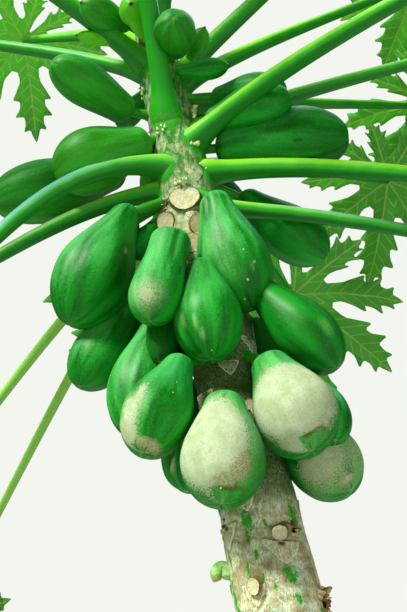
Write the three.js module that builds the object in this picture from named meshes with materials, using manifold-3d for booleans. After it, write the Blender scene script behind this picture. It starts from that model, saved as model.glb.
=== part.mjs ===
// A papaya tree in fruit: one bare stem, a crown of long-stalked lobed leaves round its top, and the
// fruit that crowds the stem under them. Millimetres and degrees, +Z up, with the origin at the middle
// of the flat cut under the stem, at ground level.
//
// A bearing (round, heading) is counted round the stem: 0 faces the front (-Y), 90 the right (+X),
// 180 the back and 270 the left. A pitch, rise or tilt is counted up from level.
import * as THREE from "three";
import { mergeVertices } from "three/addons/utils/BufferGeometryUtils.js";
import Module from "manifold-3d";

const wasm = await Module();
wasm.setup();

// Gap left between pieces that touch.
const gap = 0.4;

// The stem, from the cut at ground level to its growing tip. Each station is a height with the lean of
// the stem's middle to the right there and its diameter.
const stemStations = [
  { height: 0, lean: 0, girth: 300 },
  { height: 130, lean: -3, girth: 236 },
  { height: 600, lean: -22, girth: 208 },
  { height: 1250, lean: -88, girth: 184 },
  { height: 1980, lean: -219, girth: 146 },
  { height: 2500, lean: -318, girth: 124 },
  { height: 3040, lean: -421, girth: 98 },
  { height: 3430, lean: -484, girth: 66 },
];
const stemSides = 20;
const stemRings = 18;
const buttressCount = 5; // low ribs where the roots start
const buttressDepth = 15;
const buttressHeight = 260;

// Leaves. A stalk leaves the stem at a height and bearing, starts at the rise given and bends by bend
// degrees, most of it near its foot; stalk and girth are its length and its diameter near the stem. A
// foot that sits aside is that many degrees further round the stem than the stalk's own bearing. The
// blade reaches blade from the stalk's end to the tip of its middle lobe, which points along tilt, and
// is rolled about that lobe's midrib by roll.
const leaves = [
  { height: 3152, round: 297, rise: 32, bend: -12, stalk: 820, girth: 44, blade: 390, tilt: -52, roll: 8 },
  { height: 2988, round: 344, rise: 58, bend: -8, stalk: 800, girth: 46, blade: 360, tilt: -5, roll: 0 },
  { height: 3118, round: 74, rise: 48, bend: -6, stalk: 760, girth: 42, blade: 360, tilt: -15, roll: -6 },
  { height: 3104, round: 108, rise: 50, bend: -12, stalk: 860, girth: 38, blade: 370, tilt: -20, roll: 8 },
  { height: 2924, round: 50, rise: 24, bend: -25, stalk: 960, girth: 42, blade: 370, tilt: -40, roll: 5 },
  { height: 2975, round: 90, rise: 30, bend: -12, stalk: 900, girth: 36, blade: 370, tilt: -38, roll: -8 },
  { height: 3062, round: 122, rise: 30, bend: -6, stalk: 880, girth: 36, blade: 390, tilt: -28, roll: 6 },
  { height: 3140, round: 262, rise: 30, bend: -14, stalk: 780, girth: 34, blade: 350, tilt: -35, roll: -5 },
  { height: 2861, round: 282, rise: 6, bend: -68, stalk: 900, girth: 39, blade: 370, tilt: -64, roll: 5,
    aside: 30 },
  { height: 2824, round: 262, rise: 2, bend: -35, stalk: 700, girth: 38, blade: 360, tilt: -58, roll: 0 },
  { height: 2858, round: 78, rise: 4, bend: -20, stalk: 780, girth: 45, blade: 390, tilt: -48, roll: 0 },
  { height: 2778, round: 90, rise: 0, bend: -14, stalk: 980, girth: 33, blade: 370, tilt: -50, roll: 4 },
  { height: 2790, round: 228, rise: -8, bend: -28, stalk: 1100, girth: 28, blade: 360, tilt: -66, roll: -24 },
  { height: 2808, round: 217, rise: -20, bend: -20, stalk: 1200, girth: 27, blade: 340, tilt: -74, roll: -24 },
  { height: 2860, round: 160, rise: 28, bend: -18, stalk: 860, girth: 38, blade: 390, tilt: -36, roll: -5 },
  { height: 2990, round: 186, rise: 28, bend: -22, stalk: 860, girth: 40, blade: 390, tilt: -25, roll: 0 },
  { height: 2900, round: 136, rise: 38, bend: -14, stalk: 860, girth: 36, blade: 360, tilt: -34, roll: 6 },
  { height: 3290, round: 24, rise: 48, bend: -16, stalk: 700, girth: 42, blade: 340, tilt: -12, roll: 0 },
  { height: 3250, round: 222, rise: 50, bend: -16, stalk: 720, girth: 40, blade: 350, tilt: -12, roll: 0 },
];
const bendHaste = 4; // the higher, the nearer the foot a stalk bends
const stalkTaper = 0.46; // diameter at the blade over the diameter near the stem
const stalkFlare = 0.36; // how much wider the clasping foot is
const flareShare = 0.05; // the foot's share of the stalk's length
const stalkSides = 5;
const stalkRings = 5;
const stalkBite = 14; // how deep the stalk's axis starts inside the stem
// A blade has nine lobes. These are the reach of the middle lobe and of each next pair, as a share.
const lobeReach = [1, 0.94, 0.84, 0.7, 0.52];
const lobeSpread = 40;
const lobeParts = 4; // rim points to a lobe: a notch, a shoulder, a tip and a shoulder
const notchReach = 0.38;
const clefReach = 0.04; // the notch behind the stalk's end
const shoulderReach = 0.8;
const bladeThick = 7;
const bladeDroop = 0.3; // how far the rim hangs below a flat blade, as a share of its reach

// The young leaves still folded upright round the growing tip, as one mass.
const tuft = { base: 3432, top: 4020, spread: 175, widest: 0.7, ripple: 0.42, ripples: 5 };

// Fruit. Each hangs from a short stalk at a height and bearing, with its shoulder at reach from the
// stem's middle, and points along heading and pitch. neck is the shoulder's width over the full width.
const fruits = [
  { height: 3017, round: 277, reach: 85, pitch: 5, heading: 313, long: 205, girth: 94, neck: 0.68 },
  { height: 2930, round: 300, reach: 60, pitch: -22, heading: 266, long: 214, girth: 138, neck: 0.5 },
  { height: 2914, round: 245, reach: 124, pitch: -16, heading: 270, long: 290, girth: 134, neck: 0.45 },
  { height: 2768, round: 282, reach: 122, pitch: -68, heading: 265, long: 285, girth: 150, neck: 0.36 },
  { height: 2652, round: 331, reach: 112, pitch: -78, heading: 300, long: 206, girth: 98, neck: 0.78 },
  { height: 2602, round: 352, reach: 88, pitch: -84, heading: 60, long: 216, girth: 124, neck: 0.38 },
  { height: 2762, round: 28, reach: 88, pitch: -72, heading: 115, long: 256, girth: 138, neck: 0.42 },
  { height: 2567, round: 58, reach: 95, pitch: -50, heading: 88, long: 226, girth: 114, neck: 0.5 },
  { height: 2398, round: 34, reach: 110, pitch: -68, heading: 65, long: 206, girth: 144, neck: 0.45 },
  { height: 2314, round: 347, reach: 118, pitch: -80, heading: 348, long: 208, girth: 138, neck: 0.48 },
  { height: 2397, round: 317, reach: 122, pitch: -68, heading: 308, long: 214, girth: 118, neck: 0.42 },
  { height: 2522, round: 266, reach: 108, pitch: -80, heading: 280, long: 240, girth: 122, neck: 0.5 },
  { height: 2326, round: 100, reach: 84, pitch: -52, heading: 56, long: 200, girth: 127, neck: 0.5 },
  { height: 2926, round: 84, reach: 80, pitch: 0, heading: 82, long: 278, girth: 140, neck: 0.6 },
  { height: 2967, round: 60, reach: 78, pitch: 7, heading: 72, long: 184, girth: 104, neck: 0.5 },
  { height: 2846, round: 112, reach: 122, pitch: -30, heading: 110, long: 226, girth: 118, neck: 0.5 },
  { height: 3142, round: 30, reach: 74, pitch: -13, heading: 358, long: 132, girth: 88, neck: 0.5 },
];
// Fruit that crowds together is one solid: the youngest at the top, and the rows behind the stem.
const bunches = [
  {
    name: "young",
    fruits: [
      { height: 3240, round: 332, reach: 62, pitch: -25, heading: 352, long: 108, girth: 66, neck: 0.5 },
      { height: 3235, round: 312, reach: 72, pitch: -8, heading: 312, long: 130, girth: 70, neck: 0.5 },
    ],
  },
  {
    name: "back_left",
    fruits: [
      { height: 2800, round: 240, reach: 125, pitch: -30, heading: 242, long: 215, girth: 98, neck: 0.5 },
      { height: 2590, round: 252, reach: 158, pitch: -64, heading: 275, long: 210, girth: 112, neck: 0.5 },
      { height: 2700, round: 225, reach: 100, pitch: -66, heading: 240, long: 250, girth: 124, neck: 0.45 },
      { height: 2440, round: 205, reach: 98, pitch: -80, heading: 250, long: 220, girth: 112, neck: 0.5 },
    ],
  },
  {
    name: "back_right",
    fruits: [
      { height: 2700, round: 165, reach: 90, pitch: -62, heading: 160, long: 250, girth: 124, neck: 0.45 },
      { height: 2560, round: 128, reach: 100, pitch: -66, heading: 120, long: 235, girth: 122, neck: 0.5 },
      { height: 2470, round: 165, reach: 96, pitch: -74, heading: 150, long: 225, girth: 122, neck: 0.45 },
    ],
  },
];
const fruitSides = 8;
const fruitRings = 6;
const fruitBelly = 0.62; // where along its length a fruit is widest
const shoulderShare = 0.1; // the rounded shoulder's share of the length
const fruitStalk = 20; // diameter
const fruitStalkLift = 26; // how far above the shoulder a hanging fruit's stalk leaves the stem
const fruitStalkSides = 5;

function radians(degrees) {
  return (degrees * Math.PI) / 180;
}

// A smooth value between the stem's stations at a height.
function stationValue(height, key) {
  const last = stemStations.length - 1;
  const h = THREE.MathUtils.clamp(height, 0, stemStations[last].height);
  let i = 0;
  while (i < last - 1 && stemStations[i + 1].height < h) i += 1;
  const a = stemStations[Math.max(i - 1, 0)];
  const b = stemStations[i];
  const c = stemStations[i + 1];
  const d = stemStations[Math.min(i + 2, last)];
  const span = c.height - b.height;
  const t = (h - b.height) / span;
  const slopeB = ((c[key] - a[key]) / (c.height - a.height)) * span;
  const slopeC = ((d[key] - b[key]) / (d.height - b.height)) * span;
  const t2 = t * t;
  const t3 = t2 * t;
  return (
    b[key] * (2 * t3 - 3 * t2 + 1) +
    slopeB * (t3 - 2 * t2 + t) +
    c[key] * (3 * t2 - 2 * t3) +
    slopeC * (t3 - t2)
  );
}

function stemMiddle(height) {
  return new THREE.Vector3(stationValue(height, "lean"), 0, height);
}

function stemRadius(height) {
  return stationValue(height, "girth") / 2;
}

// The unit vector along a bearing and a pitch.
function direction(bearing, pitch) {
  const level = Math.cos(radians(pitch));
  return new THREE.Vector3(
    Math.sin(radians(bearing)) * level,
    -Math.cos(radians(bearing)) * level,
    Math.sin(radians(pitch)),
  );
}

function solidOf(geometry) {
  geometry.deleteAttribute("normal");
  geometry.deleteAttribute("uv");
  const merged = mergeVertices(geometry, 1e-4);
  return new wasm.Manifold(
    new wasm.Mesh({
      numProp: 3,
      vertProperties: new Float32Array(merged.attributes.position.array),
      triVerts: new Uint32Array(merged.index.array),
    }),
  );
}

function geometryOf(solid) {
  const mesh = solid.getMesh();
  const places = new Float32Array(mesh.numVert * 3);
  for (let i = 0; i < mesh.numVert; i += 1) {
    places.set(mesh.vertProperties.subarray(i * mesh.numProp, i * mesh.numProp + 3), i * 3);
  }
  const geometry = new THREE.BufferGeometry();
  geometry.setAttribute("position", new THREE.BufferAttribute(places, 3));
  geometry.setIndex(new THREE.BufferAttribute(mesh.triVerts, 1));
  const flat = geometry.toNonIndexed();
  flat.computeVertexNormals();
  return flat;
}

// A closed cylinder bent along a path. place(share, bearing) gives the point of the side at a share
// of the length, and the caps follow their rims.
function bentCylinder(sides, rings, place) {
  const geometry = new THREE.CylinderGeometry(1, 1, 1, sides, rings);
  const position = geometry.attributes.position;
  for (let i = 0; i < position.count; i += 1) {
    const x = position.getX(i);
    const z = position.getZ(i);
    const share = position.getY(i) + 0.5;
    const point = place(share, Math.hypot(x, z), Math.atan2(x, z));
    position.setXYZ(i, point.x, point.y, point.z);
  }
  return solidOf(geometry);
}

// The stem, with low ribs at its foot. grow makes it that much thicker.
function stemSolid(grow) {
  const top = stemStations[stemStations.length - 1].height;
  return bentCylinder(stemSides, stemRings, (share, out, turn) => {
    const height = top * share ** 1.25;
    const low = Math.max(0, 1 - height / buttressHeight) ** 2;
    const ribs = buttressDepth * low * Math.cos(buttressCount * turn);
    const radius = (stemRadius(height) + ribs + grow) * out;
    return stemMiddle(height).add(new THREE.Vector3(Math.sin(turn) * radius, -Math.cos(turn) * radius, 0));
  });
}

// The points along a leaf's stalk and its direction at the far end.
function stalkPath(leaf) {
  const start = stemMiddle(leaf.height).addScaledVector(
    direction(leaf.round + (leaf.aside ?? 0), 0),
    stemRadius(leaf.height) - stalkBite,
  );
  const points = [start];
  const steps = stalkRings * 4;
  for (let i = 0; i < steps; i += 1) {
    const share = (i + 0.5) / steps;
    const pitch = leaf.rise + leaf.bend * (1 - (1 - share) ** bendHaste);
    points.push(points[i].clone().addScaledVector(direction(leaf.round, pitch), leaf.stalk / steps));
  }
  return new THREE.CatmullRomCurve3(points);
}

function stalkRadius(leaf, share) {
  const foot = 1 + stalkFlare * Math.exp(-((share / flareShare) ** 2));
  return (leaf.girth / 2) * (1 - (1 - stalkTaper) * share) * foot;
}

function stalkSolid(leaf, grow) {
  const path = stalkPath(leaf);
  const side = direction(leaf.round + 90, 0);
  return bentCylinder(stalkSides, stalkRings, (share, out, turn) => {
    const along = share ** 1.3;
    const radius = (stalkRadius(leaf, along) + grow) * out;
    const up = new THREE.Vector3().crossVectors(path.getTangentAt(along), side);
    return path
      .getPointAt(along)
      .addScaledVector(side, Math.sin(turn) * radius)
      .addScaledVector(up, -Math.cos(turn) * radius);
  });
}

// A leaf blade: a thin disc on top of the stalk's end, whose rim is drawn out to lobes and hangs down.
function bladeSolid(leaf) {
  const path = stalkPath(leaf);
  const midrib = direction(leaf.round, leaf.tilt);
  const side = direction(leaf.round + 90, 0).applyAxisAngle(midrib, radians(leaf.roll));
  const up = new THREE.Vector3().crossVectors(midrib, side);
  const end = path
    .getPointAt(1)
    .addScaledVector(path.getTangentAt(1), gap + bladeThick / 2)
    .addScaledVector(up, stalkRadius(leaf, 1) + gap + bladeThick / 2);
  const outerLobe = lobeReach.length - 1;
  return bentCylinder((2 * outerLobe + 1) * lobeParts, 1, (share, out, turn) => {
    const lobe = Math.round(turn / radians(lobeSpread));
    const off = Math.abs(turn / radians(lobeSpread) - lobe);
    const tip = lobeReach[Math.min(Math.abs(lobe), outerLobe)];
    let reach = notchReach;
    if (off < 0.1) reach = tip;
    else if (off < 0.4) reach = tip * shoulderReach;
    else if (Math.abs(turn) > radians(lobeSpread * (outerLobe + 0.4))) reach = clefReach;
    const radius = leaf.blade * reach * out;
    const droop = bladeDroop * leaf.blade * reach ** 2 * out ** 2;
    return end
      .clone()
      .addScaledVector(midrib, Math.cos(turn) * radius)
      .addScaledVector(side, Math.sin(turn) * radius)
      .addScaledVector(up, (share - 0.5) * bladeThick - droop);
  });
}

// The mass of young leaves: a bud shape that widens upwards, in upright folds.
function tuftSolid() {
  const rings = 6;
  const sides = 15;
  const profile = [];
  for (let i = 0; i <= rings; i += 1) {
    const share = i / rings;
    const swell = share < tuft.widest
      ? THREE.MathUtils.lerp(0.14, 1, (share / tuft.widest) ** 1.2)
      : Math.sqrt(1 - ((share - tuft.widest) / (1 - tuft.widest)) ** 2);
    profile.push(new THREE.Vector2(swell * tuft.spread, share * (tuft.top - tuft.base)));
  }
  profile[rings].x = 0;
  profile.unshift(new THREE.Vector2(0, 0));
  const body = new THREE.LatheGeometry(profile, sides);
  const position = body.attributes.position;
  const foot = stemMiddle(tuft.base);
  for (let i = 0; i < position.count; i += 1) {
    const x = position.getX(i);
    const y = position.getY(i);
    const z = position.getZ(i);
    const turn = Math.atan2(x, z);
    const share = y / (tuft.top - tuft.base);
    const fold = 1 + tuft.ripple * share * Math.cos(tuft.ripples * turn + 3 * share);
    position.setXYZ(i, foot.x + x * fold - share * 40, -z * fold, foot.z + y);
  }
  return solidOf(body);
}

// Half the width of a fruit at a share of its length: a rounded shoulder, a neck that swells, and a
// round end.
function fruitRadius(fruit, share) {
  const swell = THREE.MathUtils.smoothstep(share, 0, fruitBelly);
  let width = fruit.neck + (1 - fruit.neck) * swell;
  if (share < shoulderShare) width *= Math.sqrt(1 - (1 - share / shoulderShare) ** 2);
  if (share > fruitBelly) width *= Math.sqrt(1 - ((share - fruitBelly) / (1 - fruitBelly)) ** 2);
  return (width * fruit.girth) / 2;
}

function fruitShoulder(fruit) {
  return stemMiddle(fruit.height).addScaledVector(direction(fruit.round, 0), fruit.reach);
}

function fruitSolid(fruit, grow) {
  const profile = [];
  for (let i = 0; i <= fruitRings; i += 1) {
    const share = (1 - Math.cos((Math.PI * i) / fruitRings)) / 2;
    const radius = fruitRadius(fruit, share);
    const end = i === 0 || i === fruitRings;
    profile.push(new THREE.Vector2(end ? 0 : radius + grow, share * (fruit.long + 2 * grow) - grow));
  }
  const body = new THREE.LatheGeometry(profile, fruitSides);
  const axis = direction(fruit.heading, fruit.pitch);
  const turn = new THREE.Quaternion().setFromUnitVectors(new THREE.Vector3(0, 1, 0), axis);
  const shoulder = fruitShoulder(fruit);
  body.applyQuaternion(turn).translate(shoulder.x, shoulder.y, shoulder.z);
  return solidOf(body).add(fruitStalkSolid(fruit, shoulder, axis, grow));
}

// The short stalk from the stem to a fruit's shoulder.
function fruitStalkSolid(fruit, shoulder, axis, grow) {
  const lift = fruitStalkLift * Math.max(0, -axis.z);
  const from = stemMiddle(fruit.height + lift).addScaledVector(
    direction(fruit.round, 0),
    stemRadius(fruit.height + lift) - stalkBite,
  );
  const to = shoulder.clone().addScaledVector(axis, fruit.long * shoulderShare);
  const run = to.clone().sub(from);
  const geometry = new THREE.CylinderGeometry(
    fruitStalk / 2 + grow,
    fruitStalk / 2 + grow,
    run.length(),
    fruitStalkSides,
  );
  geometry.translate(0, run.length() / 2, 0);
  geometry.applyQuaternion(
    new THREE.Quaternion().setFromUnitVectors(new THREE.Vector3(0, 1, 0), run.normalize()),
  );
  geometry.translate(from.x, from.y, from.z);
  return solidOf(geometry);
}

function bunchSolid(bunch, grow) {
  return bunch.fruits.map((fruit) => fruitSolid(fruit, grow)).reduce((all, one) => all.add(one));
}

function touches(a, b) {
  const p = a.boundingBox();
  const q = b.boundingBox();
  return [0, 1, 2].every((k) => p.min[k] < q.max[k] && q.min[k] < p.max[k]);
}

// The largest body left of a solid once its neighbours have been cut away.
function cutBy(solid, neighbours) {
  let left = solid;
  for (const neighbour of neighbours) {
    if (touches(left, neighbour)) left = left.subtract(neighbour);
  }
  const bodies = left.decompose();
  return bodies.sort((a, b) => b.volume() - a.volume())[0];
}

const bark = new THREE.MeshStandardMaterial({ color: 0xb0ad78, roughness: 0.9 });
const stalkGreen = new THREE.MeshStandardMaterial({ color: 0x6cc234, roughness: 0.45 });
const bladeGreen = new THREE.MeshStandardMaterial({ color: 0x2f9a1c, roughness: 0.6 });
const fruitGreen = new THREE.MeshStandardMaterial({ color: 0x1f8f33, roughness: 0.5 });

const tree = new THREE.Group();

function twoDigits(number) {
  return String(number).padStart(2, "0");
}

function addMesh(name, solid, material) {
  const mesh = new THREE.Mesh(geometryOf(solid), material);
  mesh.name = name;
  tree.add(mesh);
}

const stem = stemSolid(gap);
const cutters = [stem];
addMesh("trunk", stemSolid(0), bark);

leaves.forEach((leaf, i) => {
  addMesh("stalk_" + twoDigits(i + 1), cutBy(stalkSolid(leaf, 0), cutters), stalkGreen);
  cutters.push(stalkSolid(leaf, gap));
});
leaves.forEach((leaf, i) => {
  addMesh("blade_" + twoDigits(i + 1), cutBy(bladeSolid(leaf), cutters), bladeGreen);
});
addMesh("young_leaves", tuftSolid(), bladeGreen);

fruits.forEach((fruit, i) => {
  addMesh("fruit_" + twoDigits(i + 1), cutBy(fruitSolid(fruit, 0), cutters), fruitGreen);
  cutters.push(fruitSolid(fruit, gap));
});
for (const bunch of bunches) {
  addMesh("fruit_" + bunch.name, cutBy(bunchSolid(bunch, 0), cutters), fruitGreen);
  cutters.push(bunchSolid(bunch, gap));
}

export default tree;
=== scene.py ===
import math
import random

import bpy
import numpy as np
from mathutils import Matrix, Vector, noise
from mathutils.geometry import delaunay_2d_cdt


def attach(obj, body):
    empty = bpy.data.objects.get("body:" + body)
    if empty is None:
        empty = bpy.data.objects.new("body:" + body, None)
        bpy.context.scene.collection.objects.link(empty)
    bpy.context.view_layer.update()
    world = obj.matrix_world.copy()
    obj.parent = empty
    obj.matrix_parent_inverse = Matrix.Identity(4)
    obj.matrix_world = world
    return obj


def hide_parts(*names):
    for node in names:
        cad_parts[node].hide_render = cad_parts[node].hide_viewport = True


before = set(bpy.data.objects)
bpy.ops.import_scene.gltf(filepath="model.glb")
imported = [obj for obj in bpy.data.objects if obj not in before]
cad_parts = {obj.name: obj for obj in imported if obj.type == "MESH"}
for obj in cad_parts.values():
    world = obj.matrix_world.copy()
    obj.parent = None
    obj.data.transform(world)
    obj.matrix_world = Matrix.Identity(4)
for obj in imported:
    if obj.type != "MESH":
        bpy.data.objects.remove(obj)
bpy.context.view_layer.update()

millimetre = 0.001
goldenAngle = 137.5  # turn from one leaf to the next round the stem, degrees


# Colours and nodes

def linearColour(hexText):
    channels = [int(hexText[i:i + 2], 16) / 255 for i in (1, 3, 5)]
    linear = [c / 12.92 if c <= 0.04045 else ((c + 0.055) / 1.055) ** 2.4 for c in channels]
    return (*linear, 1.0)


def addNode(tree, kind, inputs=(), **settings):
    # inputs go by their order, name or number; each is a socket, a node, a hex colour or a plain value
    node = tree.nodes.new(kind)
    for name, value in settings.items():
        setattr(node, name, value)
    if not isinstance(inputs, dict):
        inputs = dict(zip([i for i, socket in enumerate(node.inputs) if socket.enabled], inputs))
    for key, value in inputs.items():
        if isinstance(value, bpy.types.Node):
            value = next(socket for socket in value.outputs if socket.enabled)
        if isinstance(value, bpy.types.NodeSocket):
            tree.links.new(value, node.inputs[key])
            continue
        if isinstance(value, str) and value.startswith("#"):
            value = linearColour(value)
        node.inputs[key].default_value = value
    return node


def newFinish(name):
    finish = bpy.data.materials.new(name)
    finish.use_nodes = True
    finish.node_tree.nodes.clear()
    return finish, finish.node_tree


def readings(tree, patterns, marks):
    # what a finish reads at each spot: its place, the marks on the piece's points, and noise patterns
    place = addNode(tree, "ShaderNodeTexCoord").outputs["Object"]
    read = {"place": place}
    for name in marks:
        read[name] = addNode(tree, "ShaderNodeAttribute", attribute_name=name).outputs["Fac"]
    for name, (size, detail, rough, stretch) in patterns.items():
        drawn = addNode(tree, "ShaderNodeMapping", {"Vector": place, "Scale": (1, 1, 1 / stretch)})
        read[name] = addNode(tree, "ShaderNodeTexNoise", (drawn, 1000 / size, detail, rough))
    return read


def painted(tree, colour, *layers):
    # lays colours over the first one, each by a row: what shows it, that value's low and high end, the share
    # shown at each end, the colour, and where it needs one, a value that the share is multiplied by
    for shown, low, high, start, end, over, *times in layers:
        share = addNode(tree, "ShaderNodeMapRange", (shown, low, high, start, end))
        for factor in times:
            share = addNode(tree, "ShaderNodeMath", (share, factor), operation="MULTIPLY")
        colour = addNode(tree, "ShaderNodeMix", (share, colour, over), data_type="RGBA")
    return colour


def endFinish(tree, colour, rough, specular=0.5, relief=None, through=None):
    # relief: what raises the surface, how strongly, and how far in metres
    # through: the colour of the light that a thin piece lets through
    shader = addNode(tree, "ShaderNodeBsdfPrincipled",
                     {"Base Color": colour, "Roughness": rough, "Specular IOR Level": specular})
    if relief:
        raised, strength, distance = relief
        bump = addNode(tree, "ShaderNodeBump", {"Height": raised, "Strength": strength, "Distance": distance})
        tree.links.new(bump.outputs["Normal"], shader.inputs["Normal"])
    if through:
        glow = addNode(tree, "ShaderNodeBsdfTranslucent", (through,))
        shader = addNode(tree, "ShaderNodeMixShader", (0.5, shader, glow))
    addNode(tree, "ShaderNodeOutputMaterial", {"Surface": shader})


def newGrowth(name, sockets):
    # a Geometry Nodes tree with its geometry sockets and the named inputs
    tree = bpy.data.node_groups.new(name, "GeometryNodeTree")
    tree.interface.new_socket("Geometry", in_out="OUTPUT", socket_type="NodeSocketGeometry")
    tree.interface.new_socket("Geometry", in_out="INPUT", socket_type="NodeSocketGeometry")
    for label, kind in sockets:
        tree.interface.new_socket(label, in_out="INPUT", socket_type="NodeSocket" + kind)
    return tree, addNode(tree, "NodeGroupInput").outputs


def endGrowth(tree, geometry, finish):
    real = addNode(tree, "GeometryNodeRealizeInstances", {"Geometry": geometry})
    done = addNode(tree, "GeometryNodeSetMaterial", {"Geometry": real, "Material": finish})
    addNode(tree, "NodeGroupOutput", {"Geometry": done})


def grow(name, source, tree, values):
    # runs a growth tree on a mesh and keeps the result as a plain mesh piece
    host = bpy.data.objects.new(name + ".seed", source)
    bpy.context.scene.collection.objects.link(host)
    modifier = host.modifiers.new("growth", "NODES")
    modifier.node_group = tree
    places = {s.name: s.identifier for s in tree.interface.items_tree if s.in_out == "INPUT"}
    for label, value in values.items():
        modifier[places[label]] = value
    depsgraph = bpy.context.evaluated_depsgraph_get()
    mesh = bpy.data.meshes.new_from_object(
        host.evaluated_get(depsgraph), preserve_all_data_layers=True, depsgraph=depsgraph)
    host.modifiers.remove(modifier)
    bpy.data.objects.remove(host)
    mesh.name = name
    mesh.polygons.foreach_set("use_smooth", [True] * len(mesh.polygons))
    piece = bpy.data.objects.new(name, mesh)
    bpy.context.scene.collection.objects.link(piece)
    return piece


# Shells: points, four- and three-cornered faces, and values marked on the points

def closedLoft(rings, marks=None):
    # rings run along the piece, and their points counter-clockwise round that way
    rows, columns = rings.shape[:2]
    index = np.arange(rows * columns).reshape(rows, columns)
    after = np.roll(index, -1, axis=1)
    quads = np.stack([index[:-1], after[:-1], after[1:], index[1:]], axis=-1).reshape(-1, 4)
    foot = np.full(columns, rows * columns)
    ends = [np.stack([foot, after[0], index[0]], axis=-1),
            np.stack([foot + 1, index[-1], after[-1]], axis=-1)]
    shell = {"points": np.vstack([rings.reshape(-1, 3), rings[0].mean(0), rings[-1].mean(0)]),
             "quads": quads, "triangles": np.vstack(ends), "marks": {}}
    for name, values in (marks or {}).items():
        values = np.broadcast_to(values, (rows, columns) + np.shape(values)[2:]).astype(float)
        poles = np.stack([values[0].mean(0), values[-1].mean(0)])
        shell["marks"][name] = np.concatenate([values.reshape((rows * columns,) + values.shape[2:]), poles])
    return shell


def joinedShell(shells):
    names = sorted({name for shell in shells for name in shell["marks"]})
    starts = np.cumsum([0] + [len(shell["points"]) for shell in shells])
    whole = {"points": np.vstack([shell["points"] for shell in shells]), "marks": {}}
    for kind in ("quads", "triangles"):
        whole[kind] = np.vstack([shell[kind] + start for shell, start in zip(shells, starts)])
    for name in names:
        shape = next(shell["marks"][name].shape[1:] for shell in shells if name in shell["marks"])
        whole["marks"][name] = np.concatenate(
            [shell["marks"].get(name, np.zeros((len(shell["points"]),) + shape)) for shell in shells])
    return whole


def shellMesh(name, shell, finish=None, edges=()):
    mesh = bpy.data.meshes.new(name)
    faces = shell["quads"].tolist() + shell["triangles"].tolist()
    mesh.from_pydata((shell["points"] * millimetre).tolist(), list(edges), faces)
    mesh.polygons.foreach_set("use_smooth", [True] * len(mesh.polygons))
    for label, values in shell["marks"].items():
        kind, field = ("FLOAT", "value") if values.ndim == 1 else ("FLOAT_VECTOR", "vector")
        mesh.attributes.new(label, kind, "POINT").data.foreach_set(field, values.ravel())
    if finish:
        mesh.materials.append(finish)
    return mesh


def shellPiece(name, shell, finish):
    piece = bpy.data.objects.new(name, shellMesh(name, shell, finish))
    bpy.context.scene.collection.objects.link(piece)
    return piece


def settle(piece, materialSlot, *nodes):
    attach(piece, "root")
    if nodes:
        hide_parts(*nodes)


def roughness(points, size, octaves=3, seed=0.0):
    # smooth fractal noise at points in mm, about -1 to 1
    scaled = np.asarray(points).reshape(-1, 3) / size + seed * 17.3
    values = [noise.fractal(Vector(p), 1.0, 2.0, octaves) for p in scaled]
    return np.array(values).reshape(np.shape(points)[:-1])


def smoothStep(value, low, high):
    share = np.clip((value - low) / (high - low), 0, 1)
    return share * share * (3 - 2 * share)


def hump(distance, width):
    # 1 in the middle, and smoothly less as the distance passes the width
    return np.exp(-(distance / width) ** 2)


def circle(sides):
    return np.arange(sides) * 2 * math.pi / sides


def vectors(x, y, z):
    return np.stack(np.broadcast_arrays(x, y, z), axis=-1)


def heading(bearing, pitch):
    # bearing 0 points to the viewer, along -y, and 90 to the right; arrays work too
    b, p = np.radians(bearing), np.radians(pitch)
    return vectors(np.sin(b) * np.cos(p), -np.cos(b) * np.cos(p), np.sin(p))


def turnFrom(bearing, turn):
    # degrees from the bearing to the turn, the short way round
    return (turn - bearing + 180) % 360 - 180


def ovalRing(middle, side, up, x, y):
    return middle + x[:, None] * side + y[:, None] * up


def tubeRings(line, radius, sides):
    tangent = np.gradient(line, axis=0)
    tangent /= np.linalg.norm(tangent, axis=1, keepdims=True)
    side = np.cross(tangent, (0.31, 0.77, 0.55))
    side /= np.linalg.norm(side, axis=1, keepdims=True)
    other = np.cross(tangent, side)
    turn = circle(sides)
    return line[:, None] + radius[:, None, None] * (
        np.cos(turn)[None, :, None] * side[:, None] + np.sin(turn)[None, :, None] * other[:, None])


# Stem line, in mm: height, lean to the right, girth across

stemSettings = {
    "stations": [(0, 0, 300), (130, -3, 236), (600, -22, 208), (1250, -88, 184), (1980, -219, 146),
                 (2500, -318, 124), (3040, -421, 98), (3430, -484, 66)],
    "buttresses": 5,
    "buttressDepth": 15,
    "buttressHeight": 260,
    "sides": 160,
    "steps": [(0, 9.0), (1880, 2.6), (2190, 5.6)],  # ring spacing from each height up
    "lumps": 3.2,
    "fibres": 2.4,
    # green patches on the bark: height, bearing, half width, half height
    "greens": [(2022, 15, 9, 15), (2112, 335, 9, 20), (2084, 330, 4, 14), (2034, 322, 4, 12),
               (2122, 46, 8, 26), (2110, 357, 4, 7), (1986, 18, 5, 9), (1996, 284, 8, 26),
               (2056, 338, 3, 8), (1960, 60, 9, 20), (2060, 291, 4, 14), (2146, 322, 5, 12),
               (2020, 340, 3, 6), (2005, 352, 3, 7)],
    "cushion": 5.0,  # mm that the skin rises at the foot of a leaf stalk
}


def stationValue(height, column):
    # a smooth curve through the stations: column 1 is the lean, 2 the girth
    stations = stemSettings["stations"]
    last = len(stations) - 1
    i = 0
    while i < last - 1 and stations[i + 1][0] < height:
        i += 1
    before, start = stations[max(i - 1, 0)], stations[i]
    end, after = stations[i + 1], stations[min(i + 2, last)]
    span = end[0] - start[0]
    t = (height - start[0]) / span
    startSlope = (end[column] - before[column]) / (end[0] - before[0]) * span
    endSlope = (after[column] - start[column]) / (after[0] - start[0]) * span
    return (start[column] * (2 * t ** 3 - 3 * t ** 2 + 1) + startSlope * (t ** 3 - 2 * t ** 2 + t)
            + end[column] * (3 * t ** 2 - 2 * t ** 3) + endSlope * (t ** 3 - t ** 2))


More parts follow.
